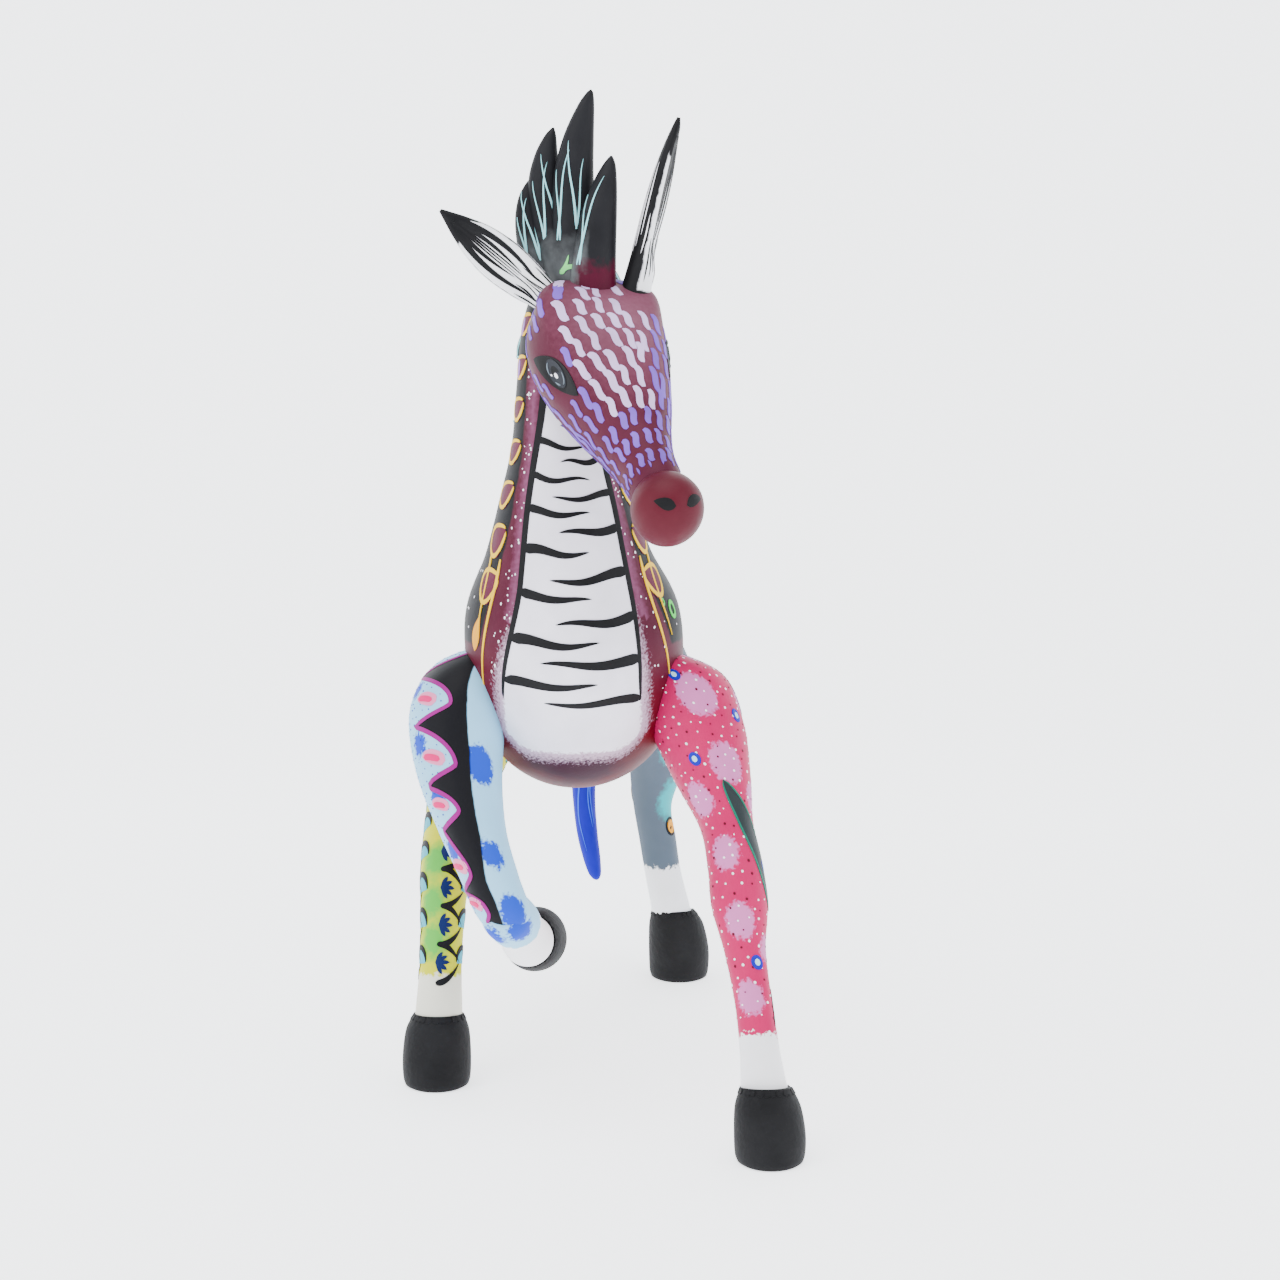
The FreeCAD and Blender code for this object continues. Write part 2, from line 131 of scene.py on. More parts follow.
class Skin:
    """Rings are x, y, z, lean, half width, half depth in millimetres and degrees."""

    def __init__(self, rings, matrix=None, carve=None):
        self.columns = list(zip(*rings))
        self.matrix = matrix or Matrix.Identity(4)
        self.carve = carve
        self.reach = [0.0]
        for here, there in zip(rings, rings[1:]):
            self.reach.append(self.reach[-1] + max(0.5, math.dist(here[:3], there[:3])))
        self.length = self.reach[-1]

    def ring(self, v):
        """The six numbers of the oval at v, from 0 to 1 along the form."""
        wanted = min(max(v, 0.0), 1.0) * self.length
        index = 0
        while index < len(self.reach) - 2 and self.reach[index + 1] < wanted:
            index += 1
        span = self.reach[index + 1] - self.reach[index]
        position = index + min(max((wanted - self.reach[index]) / span, 0.0), 1.0)
        return [curve(column, position) for column in self.columns]

    def girth(self, v):
        """Distance once round the oval."""
        ring = self.ring(v)
        return 2 * math.pi * math.sqrt((ring[4] ** 2 + ring[5] ** 2) / 2)

    def flat(self, u, v):
        """The point in millimetres, before the form is placed."""
        x, y, z, lean, wide, deep = self.ring(v)
        angle = 2 * math.pi * u
        swell = 1.0 if self.carve is None else self.carve(u % 1.0, v)
        across = max(wide, 0.2) * math.sin(angle) * swell
        front = -max(deep, 0.2) * math.cos(angle) * swell
        lean = math.radians(lean)
        return Vector((x + across, y + front * math.cos(lean), z + front * math.sin(lean)))

    def point(self, u, v, lift=0.0):
        """A point on the skin in metres, lifted this many millimetres off it."""
        here = self.flat(u, v)
        if lift:
            here = here + self.normal(u, v) * lift
        return self.matrix @ (here * MM)

    def normal(self, u, v):
        step = 0.004
        round_way = self.flat(u + step, v) - self.flat(u - step, v)
        along_way = self.flat(u, min(v + step, 1)) - self.flat(u, max(v - step, 0))
        out = round_way.cross(along_way)
        if out.length < 1e-9:
            return Vector((0, 0, 1))
        out.normalize()
        x, y, z = self.ring(v)[:3]
        return out if out.dot(self.flat(u, v) - Vector((x, y, z))) >= 0 else -out


def finish_mesh(bm, name, body, slot, *materials, smooth=True):
    """Turn a bmesh into an object that rides on its body."""
    mesh = bpy.data.meshes.new(name)
    bm.to_mesh(mesh)
    bm.free()
    for material in materials:
        mesh.materials.append(material)
    for face in mesh.polygons:
        face.use_smooth = smooth
    thing = bpy.data.objects.new(name, mesh)
    bpy.context.scene.collection.objects.link(thing)
    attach(thing, body)
    return thing


def wrap(name, skin, body, slot, material, fields=None, step=1.6, closed_ends=True):
    """Wrap a grid round a skin; fields are named functions of (u, v, point in mm)."""
    girth = max(skin.girth(v / 20) for v in range(21))
    across = max(24, int(girth / step))
    along = max(12, int(skin.length / step))
    bm = bmesh.new()
    bmesh.ops.create_grid(bm, x_segments=across, y_segments=along, size=1.0, calc_uvs=True)
    layers = {key: bm.verts.layers.float.new(key) for key in (fields or {})}
    for vert in bm.verts:
        u = (vert.co.x + 1) / 2
        v = (vert.co.y + 1) / 2
        vert.co = skin.point(u, v)
        for key, function in (fields or {}).items():
            vert[layers[key]] = function(u, v, vert.co * 1000)
    bmesh.ops.remove_doubles(bm, verts=bm.verts[:], dist=0.00002)
    if closed_ends:
        bmesh.ops.holes_fill(bm, edges=[e for e in bm.edges if e.is_boundary], sides=0)
    bmesh.ops.recalc_face_normals(bm, faces=bm.faces[:])
    thing = finish_mesh(bm, name, body, slot, material)
    print(name, len(thing.data.polygons), "faces")
    return thing

# %% [markdown]
# ## Paint that is dabbed on
# Matte acrylic is never one flat colour: it is a little lighter where the brush left less, and a
# dabbed edge breaks into specks.  Each broad colour is a layer over the base coat.  A layer follows a
# painted field (how many millimetres inside the patch we are) and noise nibbles at its edge.

# %% Layered acrylic


def noise_node(tree, scale, detail=3.0, stretch=None):
    """Noise in the piece's own coordinates."""
    nodes, links = tree.nodes, tree.links
    place = nodes.new("ShaderNodeTexCoord")
    turn = nodes.new("ShaderNodeMapping")
    if stretch:
        turn.inputs["Scale"].default_value = stretch
    grain = nodes.new("ShaderNodeTexNoise")
    grain.inputs["Scale"].default_value = scale
    grain.inputs["Detail"].default_value = detail
    links.new(place.outputs["Object"], turn.inputs["Vector"])
    links.new(turn.outputs["Vector"], grain.inputs["Vector"])
    return grain.outputs["Fac"]


def math_node(tree, operation, first, second, clamp=False):
    node = tree.nodes.new("ShaderNodeMath")
    node.operation = operation
    node.use_clamp = clamp
    for socket, value in zip(node.inputs, (first, second)):
        if hasattr(value, "is_output"):
            tree.links.new(value, socket)
        else:
            socket.default_value = value
    return node.outputs[0]


def mix_colour(tree, factor, under, over, blend="MIX"):
    node = tree.nodes.new("ShaderNodeMix")
    node.data_type = "RGBA"
    node.blend_type = blend
    for socket, value in ((node.inputs[0], factor), (node.inputs[6], under), (node.inputs[7], over)):
        if hasattr(value, "is_output"):
            tree.links.new(value, socket)
        elif socket.type == "RGBA":
            socket.default_value = (*value, 1)
        else:
            socket.default_value = value
    return node.outputs[2]


def pigment(colour):
    """Bright soft light washes paint out, so colours are mixed purer and darker than they should look."""
    grey = sum(colour) / 3
    purity = max(colour) - min(colour)
    if purity < 0.12 and grey > 0.5:
        return colour
    strength = 0.80 if grey > 0.12 else 0.72
    return tuple(min(1.0, max(0.0, grey + (c - grey) * 1.28)) * strength for c in colour)


def acrylic(name, base, layers=(), vary=0.16, roughness=0.5, bump=0.12, grain=None):
    """Matte acrylic.  layers: (field, colour, edge softness mm, speckle mm, speckle scale)."""
    material = bpy.data.materials.new(name)
    material.use_nodes = True
    tree = material.node_tree
    shader = tree.nodes["Principled BSDF"]
    base = pigment(base)
    layers = [(field, pigment(tone), softness, speckle, scale)
              for field, tone, softness, speckle, scale in layers]
    cloud = noise_node(tree, 55, 4)
    darker = tuple(c * (1 - vary) for c in base)
    lighter = tuple(min(1, c * (1 + vary) + 0.01) for c in base)
    colour = mix_colour(tree, cloud, darker, lighter)
    for field, tone, softness, speckle, scale in layers:
        reader = tree.nodes.new("ShaderNodeAttribute")
        reader.attribute_name = field
        nibble = math_node(tree, "MULTIPLY", math_node(
            tree, "SUBTRACT", noise_node(tree, scale, 5), 0.5), speckle * 4)
        inside = math_node(tree, "ADD", reader.outputs["Fac"], nibble)
        cover = math_node(tree, "ADD", math_node(tree, "DIVIDE", inside, softness), 0.5, clamp=True)
        shade = mix_colour(tree, cloud, tuple(c * (1 - vary) for c in tone),
                           tuple(min(1, c * (1 + vary * 0.6)) for c in tone))
        colour = mix_colour(tree, cover, colour, shade)
    tree.links.new(colour, shader.inputs["Base Color"])
    shader.inputs["Roughness"].default_value = roughness
    shader.inputs["Specular IOR Level"].default_value = 0.10
    bumps = tree.nodes.new("ShaderNodeBump")
    bumps.inputs["Strength"].default_value = bump
    bumps.inputs["Distance"].default_value = 0.0006
    tree.links.new(noise_node(tree, 420, 5, grain), bumps.inputs["Height"])
    tree.links.new(bumps.outputs["Normal"], shader.inputs["Normal"])
    return material


def smooth(edge0, edge1, value):
    t = min(max((value - edge0) / (edge1 - edge0), 0.0), 1.0)
    return t * t * (3 - 2 * t)


def turn_distance(u, middle):
    """Signed distance round the form, in turns."""
    return (u - middle + 0.5) % 1.0 - 0.5

# %% [markdown]
# ## Brushwork
# A brush stroke is a narrow strip that starts at a spot on the skin and wanders; a dot is a small
# disc; a petal is a strip with a full belly.  All are cut from a flat sheet, laid on the skin and
# given a little thickness, so that they stay crisp from any distance.

# %% Brush marks


class Brush:
    """Collects marks of one colour that lie on skins, then makes one object of them."""

    def __init__(self, name, body, slot, material, height=0.2):
        self.name, self.body, self.slot = name, body, slot
        self.material, self.height = material, height
        self.bm = bmesh.new()
        self.count = 0

    def settle(self, skin, spot, verts, shape, lift):
        """Move flat verts onto the skin; shape gives millimetres round and along from the spot."""
        u0, v0 = spot
        for vert in verts:
            round_mm, along_mm = shape(vert.co.x, vert.co.y)
            v = min(max(v0 + along_mm / skin.length, 0.0), 1.0)
            u = u0 + round_mm / max(skin.girth(v), 1.0)
            vert.co = skin.point(u, v, lift + self.height)
        faces = list({face for vert in verts for face in vert.link_faces})
        middle = faces[len(faces) // 2]
        middle.normal_update()
        x, y = shape(0.0, 0.0)
        v = min(max(v0 + y / skin.length, 0.0), 1.0)
        out = skin.matrix.to_3x3() @ skin.normal(u0 + x / max(skin.girth(v), 1.0), v)
        if middle.normal.dot(out) < 0:
            bmesh.ops.reverse_faces(self.bm, faces=faces)
        self.count += 1

    def line(self, skin, spot, path, width, segments=10, across=2, lift=0.05):
        """A stroke: path(t) gives millimetres round and along; width(t) its half width."""
        made = bmesh.ops.create_grid(self.bm, x_segments=across, y_segments=segments, size=1.0)

        def shape(a, b):
            t = (b + 1) / 2
            x, y = path(t)
            x2, y2 = path(min(t + 0.01, 1.0))
            x1, y1 = path(max(t - 0.01, 0.0))
            size = math.hypot(x2 - x1, y2 - y1) or 1
            half = width(t) * a / size
            return x - (y2 - y1) * half, y + (x2 - x1) * half
        self.settle(skin, spot, made["verts"], shape, lift)

    def dot(self, skin, spot, radius, tall=1.0, lift=0.05, sides=9):
        """A round or oval dab."""
        made = bmesh.ops.create_circle(self.bm, cap_ends=True, segments=sides, radius=1.0)
        self.settle(skin, spot, made["verts"],
                    lambda a, b: (a * radius, b * radius * tall), lift)

    def ring(self, skin, spot, inner, outer, lift=0.05, sides=16):
        """A round outline."""
        middle = (inner + outer) / 2
        self.line(skin, spot, lambda t: (middle * math.cos(2 * math.pi * t),
                                         middle * math.sin(2 * math.pi * t)),
                  lambda t: (outer - inner) / 2, segments=sides, across=1, lift=lift)

    def done(self):
        bmesh.ops.remove_doubles(self.bm, verts=self.bm.verts[:], dist=0.000004)
        self.bm.normal_update()
        depth = (self.height + 0.15) * MM
        made = bmesh.ops.extrude_face_region(self.bm, geom=self.bm.faces[:], use_keep_orig=True)
        for item in made["geom"]:
            if isinstance(item, bmesh.types.BMVert):
                item.co -= item.normal * depth
        bmesh.ops.recalc_face_normals(self.bm, faces=self.bm.faces[:])
        thing = finish_mesh(self.bm, self.name, self.body, self.slot, self.material, smooth=False)
        print(self.name, self.count, "marks,", len(thing.data.polygons), "faces")
        return thing


def heading(angle, length):
    """A straight run: angle in degrees from straight along the form."""
    turn = math.radians(angle)
    return math.sin(turn) * length, math.cos(turn) * length


def wriggle(angle, length, swing, waves, shift=0.0):
    """A wavy path that starts at the spot and runs off at an angle."""
    along = heading(angle, 1)

    def path(t):
        side = swing * math.sin(2 * math.pi * (waves * t + shift)) - swing * math.sin(2 * math.pi * shift)
        return (along[0] * length * t + along[1] * side, along[1] * length * t - along[0] * side)
    return path


def blunt(width):
    """The same width all along, with round ends."""
    return lambda t: width * max(0.0, 1 - abs(2 * t - 1) ** 5) ** 0.5 + 0.02


def pointed(width):
    """Full at the start and drawn out to a point."""
    return lambda t: width * min(1.0, 0.35 + 9 * t) * max(0.0, 1 - t) ** 0.6 + 0.02


def leaf_width(width, full=0.5):
    """Pointed at both ends, fullest part way along."""
    power = math.log(0.5) / math.log(full)
    return lambda t: width * math.sin(math.pi * min(max(t, 0.0), 1.0) ** power) ** 0.8 + 0.02


def height_on(skin, z, u=0.0, low=0.42, high=0.97):
    """Where along a rising skin the surface reaches this height, by halving the range."""
    for _ in range(14):
        middle = (low + high) / 2
        if skin.flat(u, middle).z < z:
            low = middle
        else:
            high = middle
    return (low + high) / 2


def paint(name, colour, vary=0.10, roughness=0.5):
    """A single colour for brush marks, still a little cloudy."""
    return acrylic(name, colour, vary=vary, roughness=roughness, bump=0.08)


# %% [markdown]
# ## The body and the neck
# Body and neck are one branch: the fork of the wood gives the turn from back to neck for free.
# The rings run from the rump forward along the barrel and then fan upwards into the neck, so u = 0
# is the belly, the chest and at last the throat: one strip down the front, ready for its panel.

# %% Body and neck form
TRUNK = [
    (-9, 141, 178, 90, 8, 8.3), (-9, 137, 178, 90, 22, 20), (-9, 122, 176, 90, 34, 32),
    (-9, 90, 173, 90, 40, 37), (-9, 50, 172, 90, 41, 36.5), (-9, 25, 172, 90, 41, 37.5),
    (-9, -7, 172.1, 70, 43, 42.9), (-9, -39, 184.1, 50, 46, 52), (-10, -59, 212, 30, 46, 49),
    (-11.5, -62, 238.7, 15, 35.5, 38), (-12.5, -58, 262, 0, 28.5, 31), (-13, -57, 285, 0, 22.7, 26.5),
    (-13, -55, 310, 0, 20.5, 24), (-12.5, -53, 335, 0, 18.5, 22.5), (-12, -52, 350, 0, 14, 17),
    (-12, -52, 356, 0, 6, 8),
]
trunk_skin = Skin(TRUNK)

CRIMSON = (0.135, 0.010, 0.018)
BURGUNDY = (0.072, 0.010, 0.024)
PLUM = (0.036, 0.010, 0.022)
CHARCOAL = (0.006, 0.006, 0.008)
INK = (0.003, 0.003, 0.004)
LILAC_WHITE = (0.80, 0.77, 0.86)
ROSY = (0.22, 0.09, 0.15)


def panel_edge(side, v):
    """The throat panel's edge in turns; the panel leans a little to the left of the animal."""
    widest = 0.104 + 0.006 * math.exp(-((v - 0.70) / 0.10) ** 2)
    narrow = 0.022 * smooth(0.78, 0.88, v)
    return 0.018 * smooth(0.58, 0.68, v) + side * (widest - narrow)


def throat(u, v, p):
    turn = turn_distance(u, 0)
    left = (turn - panel_edge(-1, v)) * trunk_skin.girth(v)
    right = (panel_edge(1, v) - turn) * trunk_skin.girth(v)
    corner = max(0.0, 16 - min(left, right)) ** 2 / 26
    bottom = (p.z - 158) * 1.2 - corner
    return min(left, right, bottom, -p.y - 30)


def overspray(u, v, p):
    """White mist that drifts out past the lower half of the panel."""
    return throat(u, v, p) + 9 * smooth(250, 185, p.z) - 4.5


def chest_red(u, v, p):
    """The crimson belly and chest below the panel."""
    return (183 - p.z) * 0.8 + 14 * smooth(-40, 20, p.y)


def chest_plum(u, v, p):
    """A dark plum cloud just under the panel."""
    if p.y >= -20:
        return -20
    sideways = abs(turn_distance(u, 0)) * trunk_skin.girth(v)
    return 13 - math.hypot(sideways * 0.45, p.z - 152)


def neck_side(u, v, p):
    """The charcoal band down each side of the neck, narrowing to a point at the shoulder."""
    away = abs(turn_distance(u, 0.012)) * trunk_skin.girth(v)
    inner = away - 0.150 * trunk_skin.girth(v) - 7 * smooth(262, 205, p.z)
    outer = (0.345 - abs(turn_distance(u, 0.012))) * trunk_skin.girth(v)
    return min(inner, outer, p.z - 203) if p.y < 20 else -20


def rosy_edge(u, v, p):
    """A paler, dusty strip right beside the panel."""
    away = abs(turn_distance(u, 0.018)) - 0.121
    return 1.6 - abs(away) * trunk_skin.girth(v) * 0.9 if p.z > 215 else -10


body_paint = acrylic("burgundy_paint", BURGUNDY, [
    ("chest_red", CRIMSON, 34, 3, 60),
    ("chest_plum", PLUM, 12, 3, 90),
    ("rosy_edge", ROSY, 5, 1.2, 500),
    ("neck_side", CHARCOAL, 1.2, 0.5, 160),
    ("overspray", (0.55, 0.42, 0.52), 5, 3.2, 900),
    ("throat", LILAC_WHITE, 1.4, 1.5, 700),
], vary=0.2)
body = wrap("painted_body_and_neck", trunk_skin, "figure", "burgundy_body", body_paint,
            {"throat": throat, "chest_red": chest_red, "chest_plum": chest_plum, "neck_side": neck_side,
             "overspray": overspray, "rosy_edge": rosy_edge}, step=1.7)
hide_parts("torso_and_neck")

# %% [markdown]
# ## Throat stripes
# The panel gets a black outline and tapering stripes that reach in from both sides in turn, like the
# bars on a zebra's throat.  Each stripe is loaded at the outline and drawn out as the brush lifts.

# %% Throat outline and stripes
ink = paint("ink", INK)
stripes = Brush("throat_stripes", "figure", "burgundy_body", ink)
top_v = height_on(trunk_skin, 316)
low_v = height_on(trunk_skin, 176)
for side in (-1, 1):
    def outline(t, side=side):
        v = top_v + (low_v - top_v) * t
        return panel_edge(side, v) * trunk_skin.girth(v), v * trunk_skin.length
    stripes.line(trunk_skin, (0, 0), outline, lambda t: 1.75 * max(0.0, 1 - t) ** 0.3 + 0.05, segments=70)
STRIPE_HEIGHTS = {1: (296, 282, 267, 253, 235, 217, 199, 182), -1: (289, 275, 261, 245, 227, 208, 190)}
random.seed(4)
for side, heights in STRIPE_HEIGHTS.items():
    for number, height in enumerate(heights):
        v = height_on(trunk_skin, height)
        part = random.uniform(0.62, 0.75)
        droop = random.uniform(0.5, 3.5)
        bend = random.uniform(0.5, 1.1)
        phase = random.uniform(0, 0.4)

        def stripe(t):
            """Level across the chest, with a light wave."""
            level = height + bend * math.sin(2 * math.pi * (1.1 * t + phase)) - droop * t
            turn = panel_edge(side, v) + part * t * (panel_edge(-side, v) - panel_edge(side, v))
            there = height_on(trunk_skin, level, turn)
            return turn * trunk_skin.girth(there), there * trunk_skin.length
        stripes.line(trunk_skin, (0, 0), stripe, pointed(1.6), segments=22)
stripes.line(trunk_skin, (panel_edge(-1, top_v), top_v),
             lambda t: (t * 0.19 * trunk_skin.girth(top_v), 1.2), lambda t: 3.4, segments=16, across=4)
stripes.done()

# %% [markdown]
# ## Feather lobes on the neck
# Down the charcoal band runs a chain of burgundy lobes, each edged in bright yellow.  The last yellow
# stroke is drawn out into a long thin spike that ends above the shoulder.

# %% Neck lobes and specks


def lobe_outline(angle, length, width):
    """Round the edge of a teardrop whose tip is the spot."""
    ahead = heading(angle, 1)

    def path(t):
        turn = 2 * math.pi * (0.03 + 0.94 * t)
        far = length * (1 - math.cos(turn)) / 2
        side = width * math.sin(turn) * (0.45 + 0.55 * far / length)
        return ahead[0] * far + ahead[1] * side, ahead[1] * far - ahead[0] * side
    return path


yellow = paint("bright_yellow", (0.80, 0.52, 0.0))
lobe_fill = Brush("neck_lobes", "figure", "burgundy_body", paint("lobe_burgundy", (0.10, 0.014, 0.036)))
lobe_edge = Brush("neck_lobe_edges", "figure", "burgundy_body", yellow)
lilac = paint("soft_lilac", (0.36, 0.22, 0.50))
lobe_heart = Brush("neck_lobe_hearts", "figure", "burgundy_body", lilac)
for side in (-1, 1):
    for number in range(7):
        height = 340 - 17.5 * number
        v = height_on(trunk_skin, height, side * 0.2)
        size = 0.8 + 0.06 * number
        spot = (0.012 + side * 0.162, v)
        angle = side * 122
        ahead = heading(angle, 12.5 * size)
        lobe_fill.line(trunk_skin, spot, lambda t, ahead=ahead: (ahead[0] * t, ahead[1] * t),
                       leaf_width(5.6 * size, 0.62), segments=10, across=6)
        lobe_edge.line(trunk_skin, spot, lobe_outline(angle, 13 * size, 6.0 * size), blunt(0.75),
                       segments=26, lift=0.14)
        if number < 2:
            lobe_heart.dot(trunk_skin, (spot[0] + side * 0.05, v - 0.012), 1.8, 2.2, lift=0.2)
    spike_v = height_on(trunk_skin, 240, side * 0.16)
    lobe_edge.line(trunk_skin, (0.012 + side * 0.165, spike_v), wriggle(180 + side * 3, 46, 1.2, 0.5),
                   pointed(0.9), segments=24, lift=0.14)
    lobe_edge.line(trunk_skin, (0.012 + side * 0.205, spike_v), wriggle(180 + side * 14, 30, 1.0, 0.5),
                   pointed(0.8), segments=20, lift=0.14)
lobe_edge.done()
lobe_fill.done()
lobe_heart.done()

white = paint("mark_white", (0.86, 0.84, 0.88))
specks = Brush("body_specks", "figure", "burgundy_body", white, height=0.12)
for number in range(150):
    side = random.choice((-1, 1))
    v = random.uniform(0.59, 0.90)
    turn = 0.018 + side * random.uniform(0.118, 0.150)
    if number % 4 == 0:
        v = random.uniform(0.50, 0.70)
        turn = side * random.uniform(0.12, 0.30)
    specks.dot(trunk_skin, (turn, v), random.uniform(0.22, 0.5), sides=6)
specks.done()
drops = Brush("shoulder_drop", "figure", "burgundy_body", paint("ochre", (0.78, 0.38, 0.06)))
drops.line(trunk_skin, (-0.176, 0.632), wriggle(176, 12, 0.6, 0.5), leaf_width(3.1, 0.6), across=4)
drops.done()
green = paint("leaf_green", (0.10, 0.55, 0.12))
circle = Brush("shoulder_ring", "figure", "burgundy_body", green)
circle.ring(trunk_skin, (0.222, 0.622), 1.9, 3.3)
circle.ring(trunk_skin, (0.200, 0.637), 0.6, 1.4)
circle.done()

# %% [markdown]
# ## Flank petals
# The barrel and rump carry rows of simple petals with a dot at each root, a common filler pattern that
# ties the plain crimson sides to the busy neck.

# %% Flank petals
sea = paint("sea_green", (0.04, 0.30, 0.28))
orange = paint("warm_orange", (0.70, 0.20, 0.02))
petal_rows = ((0.27, sea), (0.35, orange), (0.43, lilac))
roots = Brush("flank_dots", "figure", "burgundy_body", white, height=0.14)
for row, (turn, colour) in enumerate(petal_rows):
    petals = Brush("flank_petals_%d" % row, "figure", "burgundy_body", colour)
    for side in (-1, 1):
        for number in range(11):
            v = 0.13 + 0.034 * (number + 0.5 * (row % 2))
            for fan in (-32, 0, 32):
                petals.line(trunk_skin, (side * turn, v), wriggle(side * (90 + fan), 6.2, 0.3, 0.5),
                            leaf_width(1.25, 0.6), segments=7)
            roots.dot(trunk_skin, (side * (turn - 0.011), v), 0.8, sides=8)
    petals.done()
roots.done()

# %% [markdown]
# ## Legs
# Each leg is its own carving, pegged to the body with two dowels, and each gets its own background
# colour.  The sock above every hoof is dabbed on with a dry brush, so its top edge is ragged.

# %% Leg forms and background colours
FRONT_LEFT = [
    (20, -44, 194, -18, 13, 16), (35, -51, 184, -22, 20, 25), (43, -61, 165, -26, 20.5, 25.3),
    (49.5, -74, 145, -30, 16.5, 21), (55.3, -87, 127, -32, 11.5, 16), (58.6, -97, 112, -30, 11.5, 13.5),
    (60.5, -104, 96, -24, 11.8, 13.5), (62.6, -111, 79, -26, 8.8, 10.5), (66, -122, 59, -28, 7.8, 9),
    (68.5, -132, 40, -26, 8.5, 9.6), (70.3, -139, 24, -14, 10.2, 11.5),
]
FRONT_RIGHT = [
    (-34, -38, 198, -12, 10, 13), (-50, -48, 189, -20, 19, 23), (-58.5, -64, 172, -30, 21, 25.4),
    (-58, -80, 150, -36, 18.5, 21), (-52, -95, 128, -34, 14.5, 17), (-44.5, -105, 110, -28, 12.6, 15),
    (-39, -110.5, 97, -24, 12, 13.6), (-37, -112.5, 90, -22, 9, 10.5), (-36.5, -113.5, 86.5, -22, 4, 4.5),
]
FRONT_RIGHT_SHIN = [
    (-37.5, -117, 98, 50, 7, 8), (-37, -112, 95, 52, 10.5, 11.5), (-34.5, -101, 89, 55, 11.2, 11.6),
    (-31.5, -87, 80.5, 58, 10, 10.3), (-29.8, -75, 74, 62, 11, 11.5), (-28.8, -66, 71.5, 66, 10.4, 11),
]
REAR_LEFT = [
    (1, 102, 193, 10, 9, 13), (14, 106, 182, 10, 17, 25), (23, 109, 164, 10, 19.5, 30),
    (27, 114, 146, 6, 17, 27), (27.5, 120, 126, 0, 13.5, 21), (26.5, 127, 105, -10, 12.6, 16),
    (25, 127.5, 88, -4, 9.4, 12), (27.5, 126, 72, 6, 9.1, 10.5), (30, 125, 56, 4, 9, 10),
    (34, 127, 37, -8, 9.7, 10.8), (36, 129, 28, -6, 10.4, 11.6),
]
REAR_RIGHT = [
    (-18, 101, 192, -32, 9, 13), (-33, 95, 180, -38, 18, 25), (-45, 83, 161, -42, 21.5, 29),
    (-55, 65, 143, -46, 19.5, 26), (-62, 43, 124, -50, 16, 20), (-67, 18, 105, -50, 12.5, 15),
    (-69, -5, 88, -40, 11.2, 13), (-69.5, -21, 70, -24, 9.8, 11.4), (-70, -30, 51, -16, 9.4, 10.4),
    (-70.4, -36, 35, -10, 10.2, 11.4), (-70.8, -39, 26, -6, 10.8, 12),
]
fl_skin = Skin(FRONT_LEFT)
fr_skin = Skin(FRONT_RIGHT)
frs_skin = Skin(FRONT_RIGHT_SHIN)
rl_skin = Skin(REAR_LEFT)
rr_skin = Skin(REAR_RIGHT)


def patches(skin, spots):
    """A field that is positive inside any of the round patches (u, v, radius in mm)."""
    def field(u, v, p):
        best = -30.0
        for u0, v0, radius in spots:
            x = turn_distance(u, u0) * skin.girth(v)
            y = (v - v0) * skin.length
            best = max(best, radius - math.hypot(x, y * 0.9))
        return best
    return field


def sock(skin, start):
    """The ragged band from here down to the hoof."""
    return lambda u, v, p: (v - start) * skin.length


CORAL = (0.46, 0.022, 0.120)
PINK = (0.62, 0.24, 0.46)
BLOTCHES = [
    (0.016, 0.167, 9.5), (0.057, 0.322, 8.5), (-0.131, 0.396, 7), (-0.058, 0.513, 6.5),
    (-0.016, 0.648, 7), (-0.034, 0.804, 6.5), (0.23, 0.16, 6), (0.22, 0.38, 7), (0.17, 0.04, 8),
    (0.48, 0.22, 9), (-0.34, 0.28, 8), (0.42, 0.50, 7), (-0.40, 0.60, 6), (0.47, 0.76, 6),
    (0.20, 0.70, 5), (-0.26, 0.12, 7),
]
coral_paint = acrylic("coral_paint", CORAL, [
    ("blotch", PINK, 1.6, 1.7, 700), ("sock", (0.86, 0.85, 0.87), 0.8, 2.4, 520)], vary=0.12)
fl = wrap("front_left_leg_paint", fl_skin, "figure", "coral_leg", coral_paint,
          {"blotch": patches(fl_skin, BLOTCHES), "sock": sock(fl_skin, 0.875)})
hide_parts("front_left_leg")

LOBES = [(0.00, 0.085, 0.21, -0.04), (0.21, 0.350, 0.40, -0.012), (0.40, 0.535, 0.57, -0.010),
         (0.585, 0.665, 0.70, -0.045), (0.71, 0.835, 0.87, -0.105), (0.875, 0.945, 0.975, -0.09)]
VALLEY = [(0.0, -0.12), (0.21, -0.215), (0.40, -0.160), (0.58, -0.150), (0.70, -0.165), (0.87, -0.235),
          (0.975, -0.16), (1.0, -0.015)]


def along_list(pairs, v):
    """Straight-line reading of a short list of (v, value)."""
    for (v0, a), (v1, b) in zip(pairs, pairs[1:]):
        if v <= v1:
            return a + (b - a) * min(max((v - v0) / (v1 - v0), 0), 1)
    return pairs[-1][1]


def band_left(v):
    """The scalloped edge of the raised leg's charcoal band."""
    low = along_list(VALLEY, v)
    for start, tip, end, reach in LOBES:
        if start <= v <= end:
            part = (v - start) / (tip - start) if v < tip else (end - v) / (end - tip)
            return low + (reach - low) * math.sin(part * math.pi / 2) ** 0.9
    return low


def band_right(v):
    """Its straight edge."""
    return along_list([(0, -0.06), (0.12, 0.01), (0.34, 0.042), (0.5, 0.05), (0.73, 0.022), (0.86, -0.03),
                       (1.0, -0.012)], v)


def band(u, v, p):
    turn = turn_distance(u, 0)
    return min(turn - band_left(v), band_right(v) - turn) * fr_skin.girth(v)


